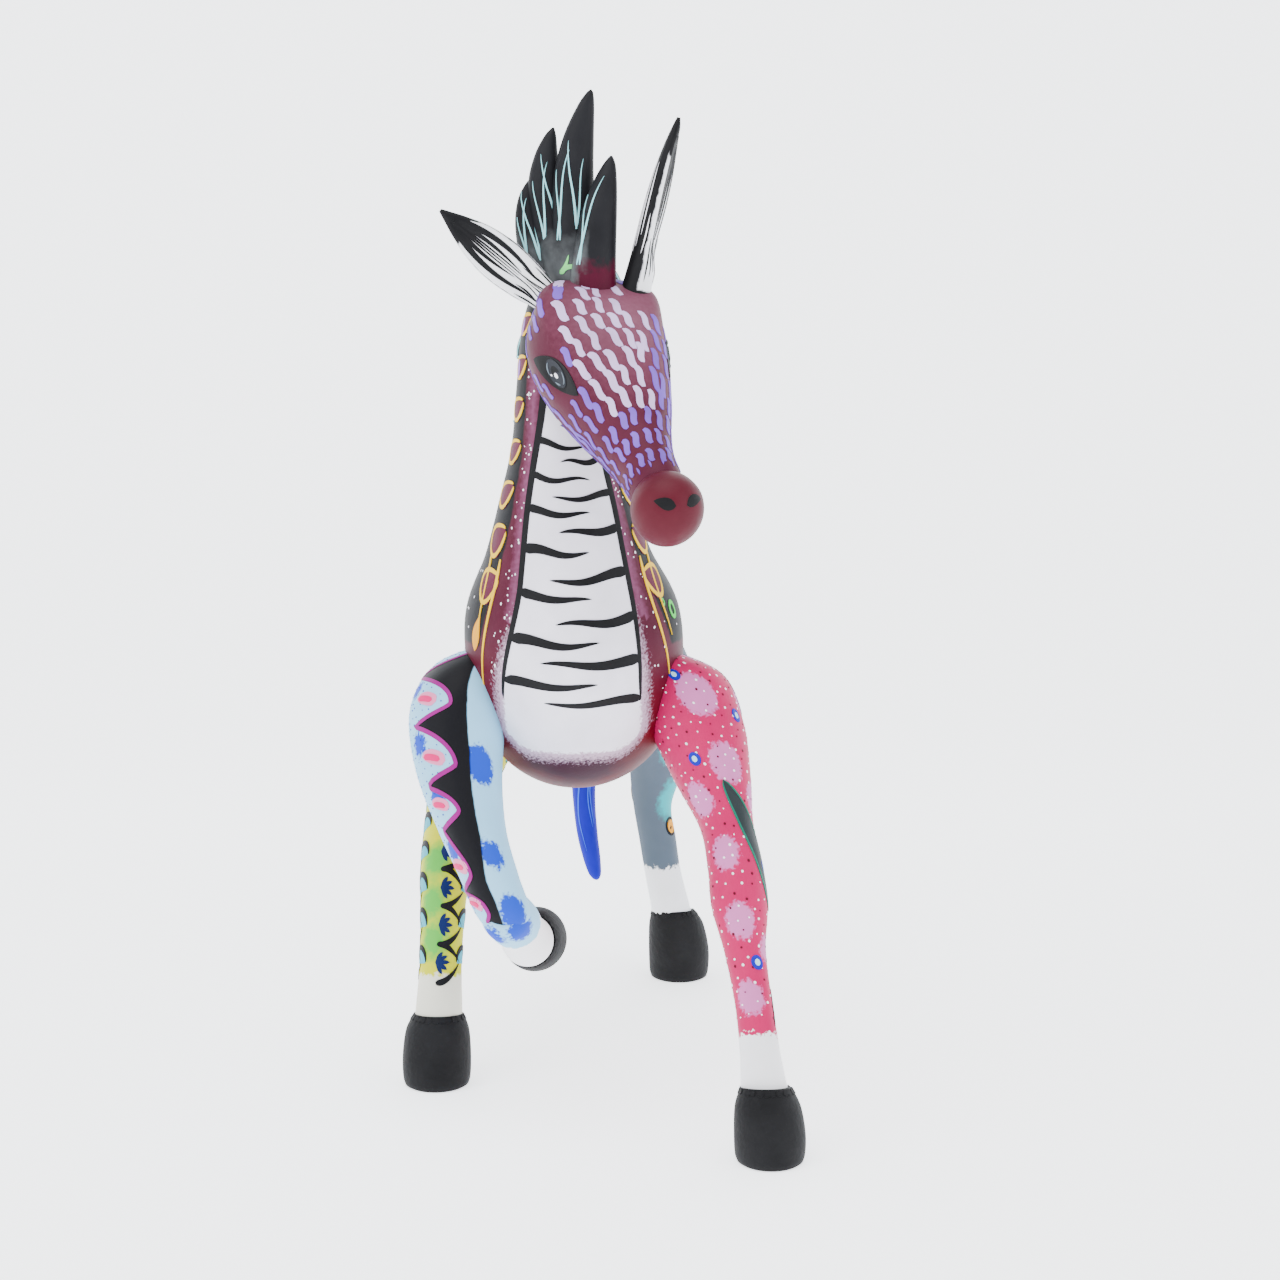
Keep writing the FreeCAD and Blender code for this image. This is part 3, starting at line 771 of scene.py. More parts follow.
ROYAL_SPOTS = [(0.075, 0.19, 5), (0.085, 0.53, 7.5), (0.05, 0.785, 5.5), (0.075, 0.945, 6.5),
               (-0.17, 0.27, 4), (-0.15, 0.455, 4.5), (-0.13, 0.615, 4), (-0.17, 0.76, 4),
               (-0.20, 0.90, 3.5), (-0.30, 0.36, 6), (0.36, 0.3, 7),
               (0.40, 0.62, 6), (-0.42, 0.5, 6)]
SKY = (0.38, 0.66, 0.87)
ROYAL = (0.055, 0.095, 0.52)
sky_paint = acrylic("sky_paint", SKY, [
    ("royal", ROYAL, 1.8, 1.8, 650), ("band", CHARCOAL, 0.7, 0.2, 200)], vary=0.08)
fr = wrap("front_right_leg_paint", fr_skin, "figure", "sky_leg", sky_paint,
          {"royal": patches(fr_skin, ROYAL_SPOTS), "band": band}, step=1.3)
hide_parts("front_right_leg")
shin_paint = acrylic("shin_paint", SKY, [
    ("royal", ROYAL, 1.8, 1.8, 650), ("sock", (0.88, 0.87, 0.89), 0.8, 2.0, 520)], vary=0.08)
wrap("front_right_shin_paint", frs_skin, "figure", "sky_leg", shin_paint,
     {"royal": patches(frs_skin, [(-0.08, 0.14, 5), (0.12, 0.10, 6)]), "sock": sock(frs_skin, 0.36)},
     step=1.2)

slate_paint = acrylic("slate_paint", (0.095, 0.12, 0.155), [
    ("teal", (0.09, 0.42, 0.46), 5, 2.2, 420), ("sock", (0.84, 0.85, 0.88), 1.2, 2.2, 500)], vary=0.12)
rl = wrap("rear_left_leg_paint", rl_skin, "figure", "slate_leg", slate_paint,
          {"teal": patches(rl_skin, [(0.17, 0.63, 9), (0.10, 0.48, 8), (0.3, 0.3, 12), (-0.35, 0.5, 10),
                                     (0.45, 0.62, 8), (-0.2, 0.2, 10)]),
           "sock": sock(rl_skin, 0.815)})
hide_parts("rear_left_leg")
yellow_paint = acrylic("yellow_paint", (0.60, 0.60, 0.0), [
    ("soft_green", (0.14, 0.46, 0.10), 6, 1.6, 420), ("sock", (0.84, 0.82, 0.72), 1.4, 2.0, 500)],
    vary=0.07)
rr = wrap("rear_right_leg_paint", rr_skin, "figure", "yellow_leg", yellow_paint,
          {"soft_green": patches(rr_skin, [(-0.06, 0.70, 7), (-0.07, 0.775, 7), (-0.05, 0.845, 7),
                                           (0.10, 0.58, 8), (-0.2, 0.45, 9), (0.3, 0.35, 10),
                                           (0.45, 0.7, 7), (-0.4, 0.6, 8), (0.1, 0.2, 10)]),
           "sock": sock(rr_skin, 0.905)})
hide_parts("rear_right_leg")

# %% [markdown]
# ## Coral leg marks
# Dots come off the handle end of the brush, a light and a dark set scattered evenly; blue targets and
# one long dark leaf are placed over them.

# %% Coral leg marks


def scatter(skin, spacing, v_low, v_high):
    """Evenly spread spots with a little wander."""
    for row in range(int(skin.length * (v_high - v_low) / spacing)):
        v = v_low + (row + 0.5) * spacing / skin.length
        count = max(3, int(skin.girth(v) / spacing))
        for number in range(count):
            yield ((number + 0.5 * (row % 2) + random.uniform(-0.28, 0.28)) / count,
                   v + random.uniform(-0.28, 0.28) * spacing / skin.length)


light_dots = Brush("coral_light_dots", "figure", "coral_leg", white, height=0.15)
dark_dots = Brush("coral_dark_dots", "figure", "coral_leg", paint("wine", (0.10, 0.004, 0.02)), height=0.15)
for number, spot in enumerate(scatter(fl_skin, 5.0, 0.03, 0.86)):
    if number % 3 == 1:
        dark_dots.dot(fl_skin, spot, random.uniform(0.32, 0.62), sides=7)
    else:
        light_dots.dot(fl_skin, spot, random.uniform(0.28, 0.66), sides=7)
light_dots.done()
dark_dots.done()
cobalt = paint("cobalt", (0.03, 0.035, 0.38))
pale_blue = paint("pale_blue", (0.52, 0.78, 0.88))
targets = Brush("coral_targets", "figure", "coral_leg", cobalt)
centres = Brush("coral_target_centres", "figure", "coral_leg", pale_blue)
for spot in ((-0.033, 0.120), (0.150, 0.203), (-0.069, 0.314), (0.232, 0.53), (0.075, 0.733),
             (0.45, 0.40), (-0.40, 0.45), (0.40, 0.12), (-0.42, 0.74)):
    targets.dot(fl_skin, spot, 2.9, 1.1, sides=16, lift=0.12)
    centres.dot(fl_skin, spot, 1.25, 1.2, sides=12, lift=0.26)
targets.done()
centres.done()
black_leaf = Brush("coral_leaf", "figure", "coral_leg", paint("leaf_black", (0.022, 0.030, 0.032)))
leaf_rim = Brush("coral_leaf_rim", "figure", "coral_leg", paint("viridian", (0.02, 0.16, 0.11)))


def leaf_path(t):
    return 17.5 * t + 2.5 * math.sin(math.pi * t), 53 * t


black_leaf.line(fl_skin, (0.020, 0.362), leaf_path, leaf_width(5.0, 0.42), segments=26, across=6)
for side in (-1, 1):
    rim = leaf_width(5.0, 0.42)
    leaf_rim.line(fl_skin, (0.020, 0.362),
                  lambda t, side=side: (leaf_path(t)[0] - side * rim(t) * 0.95,
                                        leaf_path(t)[1] + side * rim(t) * 0.33),
                  blunt(0.55), segments=30, lift=0.16)
black_leaf.line(fl_skin, (0.185, 0.02), wriggle(12, 34, 1.0, 0.5), leaf_width(0.9), segments=16)
black_leaf.line(fl_skin, (0.215, 0.78), wriggle(-6, 16, 1.0, 0.5), leaf_width(0.8), segments=12)
black_leaf.done()
leaf_rim.done()
# %% [markdown]
# ## Raised leg marks
# The charcoal band has a scalloped magenta rim.  Inside every scallop sits a pink flame with a rose
# heart, shaded with royal blue.

# %% Raised leg marks
magenta = paint("magenta", (0.26, 0.012, 0.19))
rim_line = Brush("band_rim", "figure", "sky_leg", magenta)
rim_line.line(fr_skin, (0, 0), lambda t: (band_left(t) * fr_skin.girth(t), t * fr_skin.length),
              lambda t: 0.95, segments=150, across=2)
rim_line.done()
flame = Brush("band_flames", "figure", "sky_leg", paint("flame_pink", (0.80, 0.30, 0.47)))
heart = Brush("band_flame_hearts", "figure", "sky_leg", paint("flame_rose", (0.70, 0.07, 0.20)))


def flame_width(full):
    """Fuller toward the tip, round at both ends."""
    return lambda t: full * min(1, 0.55 + t) * max(0.0, 1 - abs(2 * t - 1) ** 4) ** 0.5 + 0.02


for start, tip, end, reach in LOBES:
    middle = tip - 0.012
    size = 0.55 + 6.5 * (end - start) * 0.5
    turn = reach - 0.075
    flame.line(fr_skin, (turn - 0.06, middle - 0.03), wriggle(72, 11.5 * size, 0.8, 0.5, 0.1),
               flame_width(2.9 * size), segments=12, across=4)
    heart.line(fr_skin, (turn - 0.05, middle - 0.024), wriggle(74, 8 * size, 0.5, 0.5, 0.1),
               blunt(1.25 * size), segments=10, across=2, lift=0.3)
flame.done()
heart.done()
blue_specks = Brush("band_specks", "figure", "sky_leg", cobalt, height=0.12)
for number, spot in enumerate(scatter(fr_skin, 4.0, 0.03, 0.97)):
    if -0.30 < turn_distance(spot[0], 0) < band_left(spot[1]) - 0.02:
        blue_specks.dot(fr_skin, spot, random.uniform(0.2, 0.42), sides=6)
blue_specks.done()

# %% [markdown]
# ## Yellow leg marks
# Down the front runs a chain of palms: five navy petals fan out between two black brackets that meet
# in a point.  Half scales in teal, edged in black, overlap down the outer side.

# %% Yellow leg marks
navy = paint("navy", (0.010, 0.018, 0.085))
teal = paint("scale_teal", (0.13, 0.44, 0.55))
palms = Brush("yellow_palms", "figure", "yellow_leg", navy)
brackets = Brush("yellow_brackets", "figure", "yellow_leg", ink)
scales = Brush("yellow_scales", "figure", "yellow_leg", teal)
scale_rims = Brush("yellow_scale_rims", "figure", "yellow_leg", ink)
for column in (0.045, 0.38, 0.70):
    for number in range(11):
        v = 0.885 - 0.067 * number
        size = min(1.0, rr_skin.girth(v) / 62) * 1.05
        spot = (column - 0.075 + 0.020 * math.sin(number * 0.9), v)
        for petal in range(5):
            angle = 90 + (petal - 2) * 27
            palms.line(rr_skin, spot, wriggle(angle, (6.6 - 0.6 * abs(petal - 2)) * size, 0.1, 0.5),
                       leaf_width(0.85 * size, 0.62), segments=6)
        for side in (-1, 1):
            def bracket(t, side=side, size=size):
                return (0.5 + 11.5 * t ** 1.3) * size, side * (7.2 * math.cos(math.pi / 2 * t) ** 0.8
                                                             + 1.0 * math.sin(math.pi * t)) * size
            brackets.line(rr_skin, spot, bracket, leaf_width(1.25 * size, 0.35), segments=14)
for column in (-0.19, 0.22, 0.55):
    for number in range(11):
        v = 0.875 - 0.068 * number
        size = min(1.25, rr_skin.girth(v) / 62)
        scales.line(rr_skin, (column, v + 0.012), lambda t, size=size: (0, -8.2 * size * t),
                    lambda t, size=size: 4.4 * size * max(0.0, 1 - t ** 3) ** 0.5, segments=8, across=4)
        scale_rims.line(rr_skin, (column, v), lambda t, size=size: (
            4.9 * size * math.cos(math.pi * t), -6.8 * size * math.sin(math.pi * t) + 2.2 * size),
            leaf_width(1.15 * size), segments=14, lift=0.2)
palms.done()
brackets.done()
scales.done()
scale_rims.done()

# %% [markdown]
# ## Slate leg marks
# The grey hind leg carries only a few round spots of ochre, each inside a dark ring.

# %% Slate leg marks
target = Brush("slate_target", "figure", "slate_leg", ink)
target_heart = Brush("slate_target_heart", "figure", "slate_leg", paint("target_ochre", (0.80, 0.38, 0.07)))
for spot in ((0.165, 0.705), (-0.30, 0.62), (0.45, 0.50), (0.12, 0.42)):
    target.dot(rl_skin, spot, 3.9, 1.15, sides=16)
    target_heart.dot(rl_skin, (spot[0], spot[1]), 2.7, 1.2, sides=14, lift=0.2)
target.done()
target_heart.done()

# %% [markdown]
# ## Hooves
# A hoof is carved in one with its leg and painted matte black.  The paint is dragged upward at the
# coronet, which leaves short ragged tongues over the white sock.

# %% Hooves
HOOVES = {
    "front_left": [(70.5, -140, 29, -12, 10.6, 12), (71.2, -142, 22, -7, 13.6, 15),
                   (72, -144.5, 11, 0, 14.8, 16.6), (72.1, -145.8, 2, 0, 14.3, 16.2),
                   (72.2, -146, 0, 0, 12.6, 14.4)],
    "front_right": [(-28.8, -70, 72.5, 66, 10.8, 11.4), (-28, -64, 71, 68, 12.6, 13.1),
                    (-27, -54, 68.5, 72, 13.6, 13.9), (-26.7, -45, 67, 76, 13.2, 13.5),
                    (-26.6, -43, 66.5, 76, 11.6, 12)],
    "rear_left": [(35.2, 128, 35, -8, 10.2, 11.6), (36.8, 130, 28, -4, 13.4, 14.8),
                  (38.2, 132, 14, 0, 15, 16.5), (38.3, 132.9, 2, 0, 14.5, 16.1),
                  (38.3, 133, 0, 0, 12.8, 14.4)],
    "rear_right": [(-70.6, -38, 30.5, -8, 10.8, 12), (-71, -39.8, 24, -4, 14, 15),
                   (-71.3, -42, 12, 0, 15.2, 16.6), (-71.3, -42.9, 2, 0, 14.7, 16.2),
                   (-71.3, -43, 0, 0, 13, 14.4)],
}
HOOF_SLOTS = {"front_left": "coral_leg", "front_right": "sky_leg", "rear_left": "slate_leg",
              "rear_right": "yellow_leg"}
TONGUES = 26
hoof_paint = acrylic("hoof_black", (0.005, 0.005, 0.006), vary=0.5, roughness=0.62, bump=0.6)
for name, rings in HOOVES.items():
    hoof = Skin(rings)
    slot = HOOF_SLOTS[name]
    wrap(name + "_hoof", hoof, "figure", slot, hoof_paint, step=1.3)
    ragged = Brush(name + "_hoof_lip", "figure", slot, hoof_paint, height=0.35)
    for number in range(TONGUES):
        turn = (number + random.uniform(-0.3, 0.3)) / TONGUES
        upward = 180 + random.uniform(-14, 14)
        tongue = wriggle(upward, random.uniform(2.4, 4.2), 0.2, 0.5)
        ragged.line(hoof, (turn, 0.10), tongue, pointed(random.uniform(1.3, 2.0)), segments=5, lift=0.0)
    ragged.done()

# %% [markdown]
# ## The head
# A long tapering wedge of wood with flat brows, pegged on so it turns to one side.  The round nose is
# left as a ball.  All ovals are set upright, with u = 0 down the middle of the face.

# %% Head and nose forms
HEAD = [
    (-24, 0, 11, 12), (-16, 0, 21, 20), (-2, 0, 27.5, 25.5), (14, 0, 28.8, 26.6), (30, 0, 26.8, 25.2),
    (46, -1, 21.5, 21.8), (62, -2, 15.5, 17), (76, -2, 11.8, 14), (90, -1, 10.6, 12.5), (98, 0, 9, 10),
]
NOSE = [
    (88.5, 0, 3, 3.3), (90.5, 0, 8, 8.3), (94.5, 0, 12, 12.5), (100, 0, 14.2, 14.8),
    (105, 0, 14.4, 15.2), (110.5, 0, 12.4, 13.2), (115, 0, 8, 8.6), (117, 0, 3, 3.3), (117.4, 0, 0.3, 0.3),
]
head_place = (Matrix.Translation(Vector((-1.5, -78, 331)) * MM)
              @ Matrix.Rotation(math.radians(22), 4, "Z") @ Matrix.Rotation(math.radians(36.5), 4, "X"))


def face_carve(u, v):
    """A flatter forehead with square temples, and a hollow in front of each eye."""
    t = v * 122 - 24
    turn = abs(turn_distance(u, 0))
    temple = 0.24 * math.exp(-((turn - 0.125) / 0.050) ** 2) * math.exp(-((t + 7) / 17) ** 2)
    flat_top = -0.05 * math.exp(-(turn / 0.06) ** 2) * math.exp(-((t - 2) / 26) ** 2)
    cheek = -0.065 * math.exp(-((turn - 0.22) / 0.09) ** 2) * math.exp(-((t - 36) / 20) ** 2)
    socket = -0.05 * math.exp(-((turn - 0.215) / 0.035) ** 2) * math.exp(-((t - 28) / 11) ** 2)
    return 1 + temple + flat_top + cheek + socket


# Lean -90 stands the rings upright and puts u = 0 on the brow.
head_skin = Skin([(0, -t, rise, -90, wide, tall) for t, rise, wide, tall in HEAD], head_place, face_carve)
nose_skin = Skin([(0, -t, rise, -90, wide, tall) for t, rise, wide, tall in NOSE], head_place)


def on_face(u, t):
    """A spot on the head: turns from the brow line and millimetres down the face."""
    return u, (t + 24) / 122


def forehead(u, v, p):
    """The dusty, paler patch sprayed on the forehead."""
    t = v * 122 - 24
    return 15 - math.hypot(turn_distance(u, 0.02) * head_skin.girth(v) * 0.8, (t - 12) * 0.55)


head_paint = acrylic("head_burgundy", (0.074, 0.011, 0.026), [
    ("forehead", (0.20, 0.085, 0.12), 26, 3, 500)], vary=0.16)
head = wrap("painted_head", head_skin, "figure", "burgundy_head", head_paint,
            {"forehead": forehead}, step=1.3)
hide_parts("head")
wrap("nose_ball", nose_skin, "figure", "burgundy_head",
     acrylic("nose_maroon", (0.080, 0.010, 0.018), roughness=0.45), step=1.1)

# %% [markdown]
# ## Face marks
# The forehead and cheeks are covered in short S strokes in staggered rows: lilac white in the middle,
# violet toward the sides, smaller and thinner toward the muzzle.

# %% Face strokes
EAR_SEATS = {"right_ear": (-10, -81.2, 340.5), "left_ear": (16, -80, 347)}
CLEAR_OF_EAR = 13
lilac_strokes = Brush("face_lilac_strokes", "figure", "burgundy_head", acrylic(
    "stroke_lilac", (0.62, 0.50, 0.74), vary=0.3, bump=0.2))
violet_strokes = Brush("face_violet_strokes", "figure", "burgundy_head", acrylic(
    "stroke_violet", (0.20, 0.12, 0.48), vary=0.4, bump=0.2))
random.seed(11)
ROW_STEP = 9.6
for row in range(12):
    t = -16 + ROW_STEP * row
    girth = head_skin.girth((t + 24) / 122)
    spacing = 6.9 - 1.9 * smooth(30, 85, t)
    count = int(0.40 * girth / spacing)
    for number in range(-count, count + 1):
        turn = (number + 0.5 * (row % 2) + random.uniform(-0.12, 0.12)) * spacing / girth
        place = t + random.uniform(-1.5, 1.5)
        if turn and abs(abs(turn) - 0.222) < 0.060 and 1 < place < 40:
            continue
        if abs(turn) > 0.40 or place > 86:
            continue
        here = head_skin.point(*on_face(turn, place)) / MM
        if min((here - Vector(seat)).length for seat in EAR_SEATS.values()) < CLEAR_OF_EAR:
            continue
        length = (10.6 - 3.2 * smooth(30, 80, t)) * random.uniform(0.82, 1.08)
        width = 1.45 - 0.45 * smooth(0.16, 0.30, abs(turn)) - 0.35 * smooth(50, 85, t)
        width *= random.uniform(0.9, 1.1)
        lean = (26 + 20 * turn) * (1 if turn > -0.25 else 0.6) + random.uniform(-7, 7)
        pale = abs(turn + 0.035) < 0.085 + random.uniform(-0.03, 0.05) and t < 52
        brush = lilac_strokes if pale else violet_strokes
        brush.line(head_skin, on_face(turn, place), wriggle(lean, length, 1.35, 0.85, 0.05), blunt(width),
                   segments=11, across=2)
for side in (-1, 1):
    for number in range(4):
        violet_strokes.line(head_skin, on_face(side * (0.315 + 0.035 * number), 30 + 9 * number),
                            wriggle(-side * 4, 30 - 3 * number, 1.0, 1.6), leaf_width(0.75), segments=22)
for number in range(9):
    violet_strokes.line(head_skin, on_face(-0.3 + 0.075 * number, 85),
                        wriggle(0, random.uniform(3, 5), 0.2, 0.5), leaf_width(0.45), segments=5)
lilac_strokes.done()
violet_strokes.done()

# %% [markdown]
# ## Eyes and nostrils
# Each eye is a black almond with a dark grey iris, a few pale arcs and a white glint from the stick
# end.  The nostrils are two slanted black dabs on the ball of the nose.

# %% Eyes and nostrils
almonds = Brush("eye_almonds", "figure", "burgundy_head", ink, height=0.25)
iris = Brush("eye_iris", "figure", "burgundy_head", paint("iris_grey", (0.020, 0.022, 0.028), roughness=0.3))
pupils = Brush("eye_pupils", "figure", "burgundy_head", ink)
glints = Brush("eye_glints", "figure", "burgundy_head", white)
arcs = Brush("eye_arcs", "figure", "burgundy_head", paint("arc_grey", (0.16, 0.19, 0.22)))
for side in (-1, 1):
    def lengthwise(t, side=side):
        return side * (6.5 - 9.5 * t - 1.5 * math.sin(math.pi * t)), 31 * t - 15.5
    eye = on_face(-0.213, 26.5) if side < 0 else on_face(0.178, 23)
    almonds.line(head_skin, eye, lengthwise, leaf_width(5.9, 0.5), segments=20, across=6)
    iris.dot(head_skin, eye, 4.3, 1.75, sides=22, lift=0.32)
    pupils.dot(head_skin, eye, 2.3, 1.7, sides=16, lift=0.5)
    glints.dot(head_skin, (eye[0] + side * 0.004, eye[1] + 0.006), 0.95, 1.5, sides=12, lift=0.72)
    glints.dot(head_skin, (eye[0] + side * 0.016, eye[1] - 0.012), 0.4, 1.4, sides=8, lift=0.72)
    for start, sweep, radius in ((20, 75, 3.6), (200, 70, 3.7), (120, 40, 3.5)):
        def arc(t, start=start, sweep=sweep, radius=radius):
            turn = math.radians(start + sweep * t)
            return radius * math.cos(turn), 1.75 * radius * math.sin(turn)
        arcs.line(head_skin, eye, arc, leaf_width(0.32), segments=10, lift=0.55)
almonds.done()
iris.done()
pupils.done()
arcs.done()
glints.done()
nostrils = Brush("nostrils", "figure", "burgundy_head", ink, height=0.12)
for side in (-1, 1):
    nostrils.line(nose_skin, (side * 0.035, 0.835), wriggle(side * 118, 9.5, 0.4, 0.5),
                  leaf_width(1.75, 0.42), segments=10, across=4)
nostrils.done()

# %% [markdown]
# ## The crest
# The crest is a fan of carved spikes that grow from one base.  They are stained black, greying to a
# dusty base, and thin pairs of pale blue lines run up the valleys.

# %% Crest form
CREST = {
    "base": [(-5, -65, 342, 0, 9, 12), (-5.5, -67, 350, 0, 11, 13), (-7.5, -69.5, 361, 0, 14, 11),
             (-9, -70, 372, 0, 14, 8.5), (-9, -70, 380, 0, 5, 4)],
    "front": [(-1, -80, 346, 0, 10, 9), (0.2, -82, 366, 0, 8.8, 7.7), (2.2, -82, 384, 0, 7.2, 6),
              (4.4, -80, 395.5, 0, 5, 4.2), (6.2, -78.5, 403, 0, 2.6, 2.2), (7, -78, 406.5, 0, 0.4, 0.4)],
    "tall": [(-6.5, -70, 350, 0, 8, 9), (-8, -71.5, 360, 0, 9.2, 8.6), (-8.5, -72, 376, 0, 9.2, 7.8),
             (-8.6, -71, 398, 0, 8.3, 6.4), (-6.6, -70, 414, 0, 6.4, 5), (-3.6, -70, 426.5, 0, 3.6, 3),
             (-1.9, -70, 432, 0, 1.5, 1.4), (-1.5, -70, 433.4, 0, 0.3, 0.3)],
    "side": [(-13, -65, 350, 0, 7, 7.5), (-16.5, -66.5, 360, 0, 8, 7.6), (-18.5, -67, 374, 0, 8.2, 7),
             (-20.8, -66, 394, 0, 6.9, 5.6), (-20.2, -65, 406, 0, 5, 4.2),
             (-18.4, -64.4, 414.5, 0, 2.5, 2.2), (-17.2, -64, 418, 0, 0.4, 0.4)],
    "low": [(-17, -64, 350, 0, 6, 7), (-21.5, -66, 359, 0, 6.6, 6.6), (-24.5, -67, 366, 0, 7.2, 6.6),
            (-27.4, -66, 379, 0, 5.8, 5), (-28, -65, 388.5, 0, 4, 3.6),
            (-27.2, -64.6, 394.5, 0, 1.9, 1.8), (-26.6, -64.5, 397, 0, 0.4, 0.4)],
}


def dusty(u, v, p):
    """Greyer low down, black toward the tips."""
    return min(366 - p.z, (-4 - p.x) * 5)


def front_red(u, v, p):
    """The burgundy foot of the front spike."""
    return min(362 - p.z, (p.x + 7) * 2) if p.y < -70 else -20


crest_paint = acrylic("crest_black", CHARCOAL, [
    ("dusty", (0.15, 0.16, 0.165), 20, 4, 200), ("front_red", BURGUNDY, 6, 3, 300)], vary=0.3)
crest_skins = {key: Skin(rings) for key, rings in CREST.items()}
for key, skin in crest_skins.items():
    spike = wrap("crest_" + key, skin, "figure", "charcoal_hair", crest_paint,
                 {"dusty": dusty, "front_red": front_red}, step=1.3)
    if key == "base":
        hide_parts("crest")

# %% [markdown]
# ## Crest lines
# Pale lines run up the spikes from their feet, and one small scroll sits on the shared base.

# %% Crest lines
cyan = paint("pale_cyan", (0.40, 0.74, 0.78))
valley = Brush("crest_lines", "figure", "charcoal_hair", cyan)
LINE_TURNS = {"tall": (-0.13, 0.02), "side": (-0.06, 0.08), "low": (-0.10, 0.03), "front": (-0.14,)}
for key, turns in LINE_TURNS.items():
    skin = crest_skins[key]
    long_line, short_line = (28, 20) if key == "low" else (36, 28)
    for number, turn in enumerate(turns):
        lean = -6 if number % 2 else 5
        foot = 0.27 + 0.05 * (number % 2)
        valley.line(skin, (turn, foot), wriggle(lean, long_line, 0.5, 0.8), pointed(0.5),
                    segments=22, lift=0.1)
        valley.line(skin, (turn * 0.8, foot), wriggle(-lean, short_line, 0.5, 0.8), pointed(0.42),
                    segments=22, lift=0.1)
valley.done()
scroll = Brush("crest_scroll", "figure", "charcoal_hair", paint("light_green", (0.28, 0.80, 0.30)))
base_skin = crest_skins["base"]
scroll.line(base_skin, (-0.02, 0.46),
            lambda t: (4.2 * math.cos(math.pi * (1 + t)), 3.2 * math.sin(math.pi * t) - 1),
            blunt(0.9), segments=16, lift=0.2)
scroll.line(base_skin, (-0.085, 0.44), wriggle(32, 9, 0.6, 0.5), pointed(0.8), segments=10, lift=0.2)
scroll.done()

# %% [markdown]
# ## The mane
# Behind the crest a ridge runs down the back of the neck, with flat-ended locks that lie against its
# sides.  Every lock is outlined in pale blue.

# %% Mane form
RIDGE = [
    (-12, -46, 378, -8, 4, 5), (-12.5, -42, 364, -8, 11, 11), (-13, -36, 344, -8, 14.5, 12),
    (-13, -30.5, 318, -6, 14, 11), (-13, -28, 292, -8, 13, 10), (-12.5, -22, 268, -24, 12, 10),
    (-11.5, -12, 248, -42, 9.5, 9), (-10.5, 0, 231, -58, 6, 6.5), (-10, 8, 221, -66, 1.5, 2),
]
LOCKS = [(-1, 372, 22), (-1, 345, 24), (-1, 315, 22), (-1, 286, 20), (1, 366, 22), (1, 335, 22), (1, 304, 20)]
mane_paint = acrylic("mane_grey", (0.055, 0.065, 0.07), vary=0.35)
ridge = wrap("mane_ridge", Skin(RIDGE), "figure", "charcoal_hair", mane_paint, step=1.5)
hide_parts("neck_mane")
mane_lines = Brush("mane_lines", "figure", "charcoal_hair", cyan)
for number, (side, height, length) in enumerate(LOCKS):
    back = -38 + (350 - height) * 0.13
    reach = (12.5 if side > 0 or height > 350 else 8.5) + max(0, 330 - height) * 0.09
    lock = Skin([
        (-12.5 + side * 6, back, height, 0, 7, 8),
        (-12.5 + side * (reach + 1), back - 3, height - length * 0.35, 0, 7.5, 7.5),
        (-12.5 + side * (reach + 6), back - 5, height - length * 0.75, 0, 6.5, 6.5),
        (-12.5 + side * (reach + 8), back - 6, height - length, 0, 4.8, 5.2)])
    wrap("mane_lock_%d" % number, lock, "figure", "charcoal_hair", mane_paint, step=1.4)
    for turn in (0.0, 0.17, -0.17, 0.33, -0.33, 0.5):
        mane_lines.line(lock, (turn, 0.12), lambda t: (0, 0.84 * lock.length * t), leaf_width(0.55),
                        segments=12, lift=0.1)
    mane_lines.line(lock, (0, 0.95), lambda t: (lock.girth(0.95) * t, 0), lambda t: 0.5,
                    segments=28, lift=0.1)
mane_lines.done()

# %% [markdown]
# ## Ears
# The ears are whittled apart and plugged in on pegs, so they can be turned or taken off for packing.
# Each is a leaf with a scooped inside: white there, with black streaks, and black on the back.

# %% Ears
EAR = [
    (0, 6.0, 6.1), (5, 6.0, 6.1), (10, 6.2, 5.9), (16, 6.9, 5.6), (24, 8.4, 5.4), (36, 9.4, 5.2),
    (48, 8.2, 4.5), (58, 5.2, 3.2), (65, 2.4, 1.8), (69, 0.7, 0.7),
]


def scoop(u, v):
    """Press the front of the leaf inward between its two rims."""
    turn = abs(turn_distance(u, 0))
    return 1 - 0.62 * smooth(0.20, 0.05, turn) * smooth(0.16, 0.34, v) * smooth(0.98, 0.80, v)


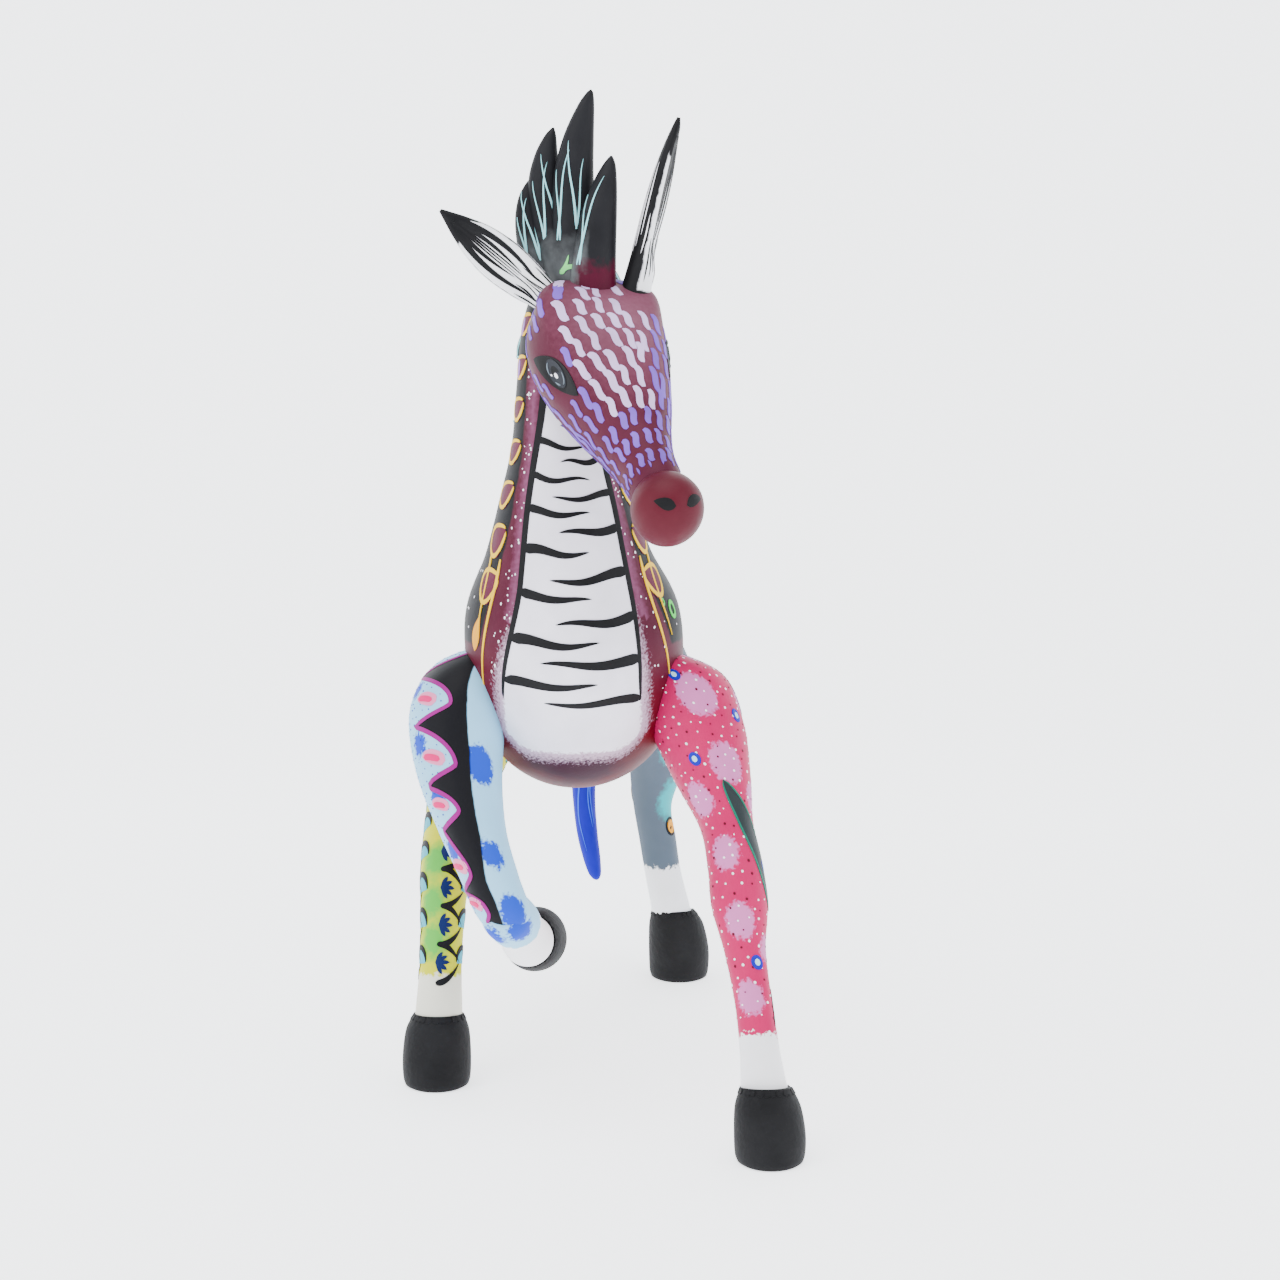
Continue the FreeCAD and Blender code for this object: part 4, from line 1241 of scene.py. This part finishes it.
def ear(name, body, place, tilt, turn, stretch):
    """One ear: the leaf, its white inside and its streaks."""
    matrix = (Matrix.Translation(Vector(place) * MM) @ Matrix.Rotation(math.radians(tilt), 4, "Y")
              @ Matrix.Rotation(math.radians(turn), 4, "Z"))
    skin = Skin([(0, 0, height * stretch, 0, wide, deep) for height, wide, deep in EAR], matrix, scoop)

    def inside(u, v, p):
        away = (0.210 - abs(turn_distance(u, 0))) * skin.girth(v)
        return min(away, (v - 0.07) * skin.length, (0.80 - v) * skin.length + 2 * math.sin(u * 90))
    leaf = wrap(name, skin, body, "ear_paint", ear_paint, {"inside": inside}, step=1.0)
    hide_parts(name)
    streaks = Brush(name + "_streaks", body, "ear_paint", ink, height=0.1)
    for number in range(7):
        across = -0.16 + 0.32 * number / 6
        start = 0.90 - 0.02 * (number % 2)
        length = (34 if number % 2 else 44) * stretch * random.uniform(0.85, 1.1)
        streaks.line(skin, (across * 0.7, start), lambda t, length=length, across=across: (
            across * 9 * math.sin(math.pi * t), -length * t), pointed(1.05), segments=26, lift=0.05)
        streaks.line(skin, (across, 0.12 + 0.03 * (number % 3)), wriggle(across * 12, 16 * stretch, 0.3, 0.5),
                     leaf_width(0.35), segments=12, lift=0.05)
    streaks.done()
    hairs = Brush(name + "_hairs", body, "ear_paint", white, height=0.1)
    for number in range(11):
        across = 0.5 + (-0.24 + 0.48 * number / 10)
        hairs.line(skin, (across, random.uniform(0.24, 0.36)),
                   wriggle(random.uniform(-3, 3), random.uniform(14, 34) * stretch, 0.3, 0.6),
                   leaf_width(0.32), segments=14, lift=0.05)
    hairs.done()


ear_paint = acrylic("ear_black", INK, [("inside", (0.84, 0.84, 0.87), 0.8, 0.6, 260)], vary=0.06)
ear("right_ear", "right_ear_leaf", EAR_SEATS["right_ear"], -50.5, 0, 1)
ear("left_ear", "left_ear_leaf", EAR_SEATS["left_ear"], 14, 78, 1.12)

# %% [markdown]
# ## The tail
# The tail is one whittled piece that hooks out of a bore in the rump and hangs behind the hind legs.
# It is ultramarine all over, with a few lighter hairs drawn down its length.

# %% Tail
TAIL = [
    (-9, 138.5, 206.8, 125, 8.3, 8.6), (-9, 145, 210, 108, 9.2, 9.5), (-9, 152, 207.5, 74, 9.4, 9.7),
    (-9, 157.5, 198, 36, 9.2, 9.5), (-9.5, 160, 180, 12, 9, 9.3), (-10, 161, 150, 3, 8.4, 8.7),
    (-10, 161.5, 118, 0, 7.4, 7.7), (-9.6, 161.5, 86, 0, 5.8, 6.1), (-8, 161, 67, 0, 5.3, 5.6),
    (-5.6, 160.5, 53, 0, 4.4, 4.7), (-4, 160, 45, 0, 3, 3.3), (-3.4, 160, 42.5, 0, 1, 1.3),
]
tail_skin = Skin(TAIL)
tail = wrap("painted_tail", tail_skin, "tail_hang", "ultramarine_tail",
            acrylic("ultramarine", (0.030, 0.022, 0.38), vary=0.18), step=1.3)
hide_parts("tail")
hairs = Brush("tail_hairs", "tail_hang", "ultramarine_tail",
              paint("tail_light", (0.12, 0.20, 0.80)), height=0.12)
for number in range(16):
    hairs.line(tail_skin, (number / 16 + random.uniform(-0.02, 0.02), random.uniform(0.12, 0.45)),
               wriggle(0, random.uniform(50, 90), 0.8, 2.2), leaf_width(0.4), segments=40)
hairs.done()

# %% [markdown]
# ## Bare wood
# The pegs and dowels keep the measured shapes and get a wood finish with grain along them.
# Only the rear left pair is slate, because its ends show at the hip.

# %% Bare wood
wood = acrylic("bare_wood", (0.60, 0.42, 0.22), vary=0.22, roughness=0.65, bump=0.3, grain=(1, 1, 0.15))
covered = paint("covered_dowel", (0.095, 0.12, 0.155))
for node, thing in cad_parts.items():
    if node.endswith("_peg") or node.endswith("_dowels") or node.endswith("_dowel"):
        thing.data.materials.clear()
        thing.data.materials.append(covered if node == "rear_left_dowels" else wood)
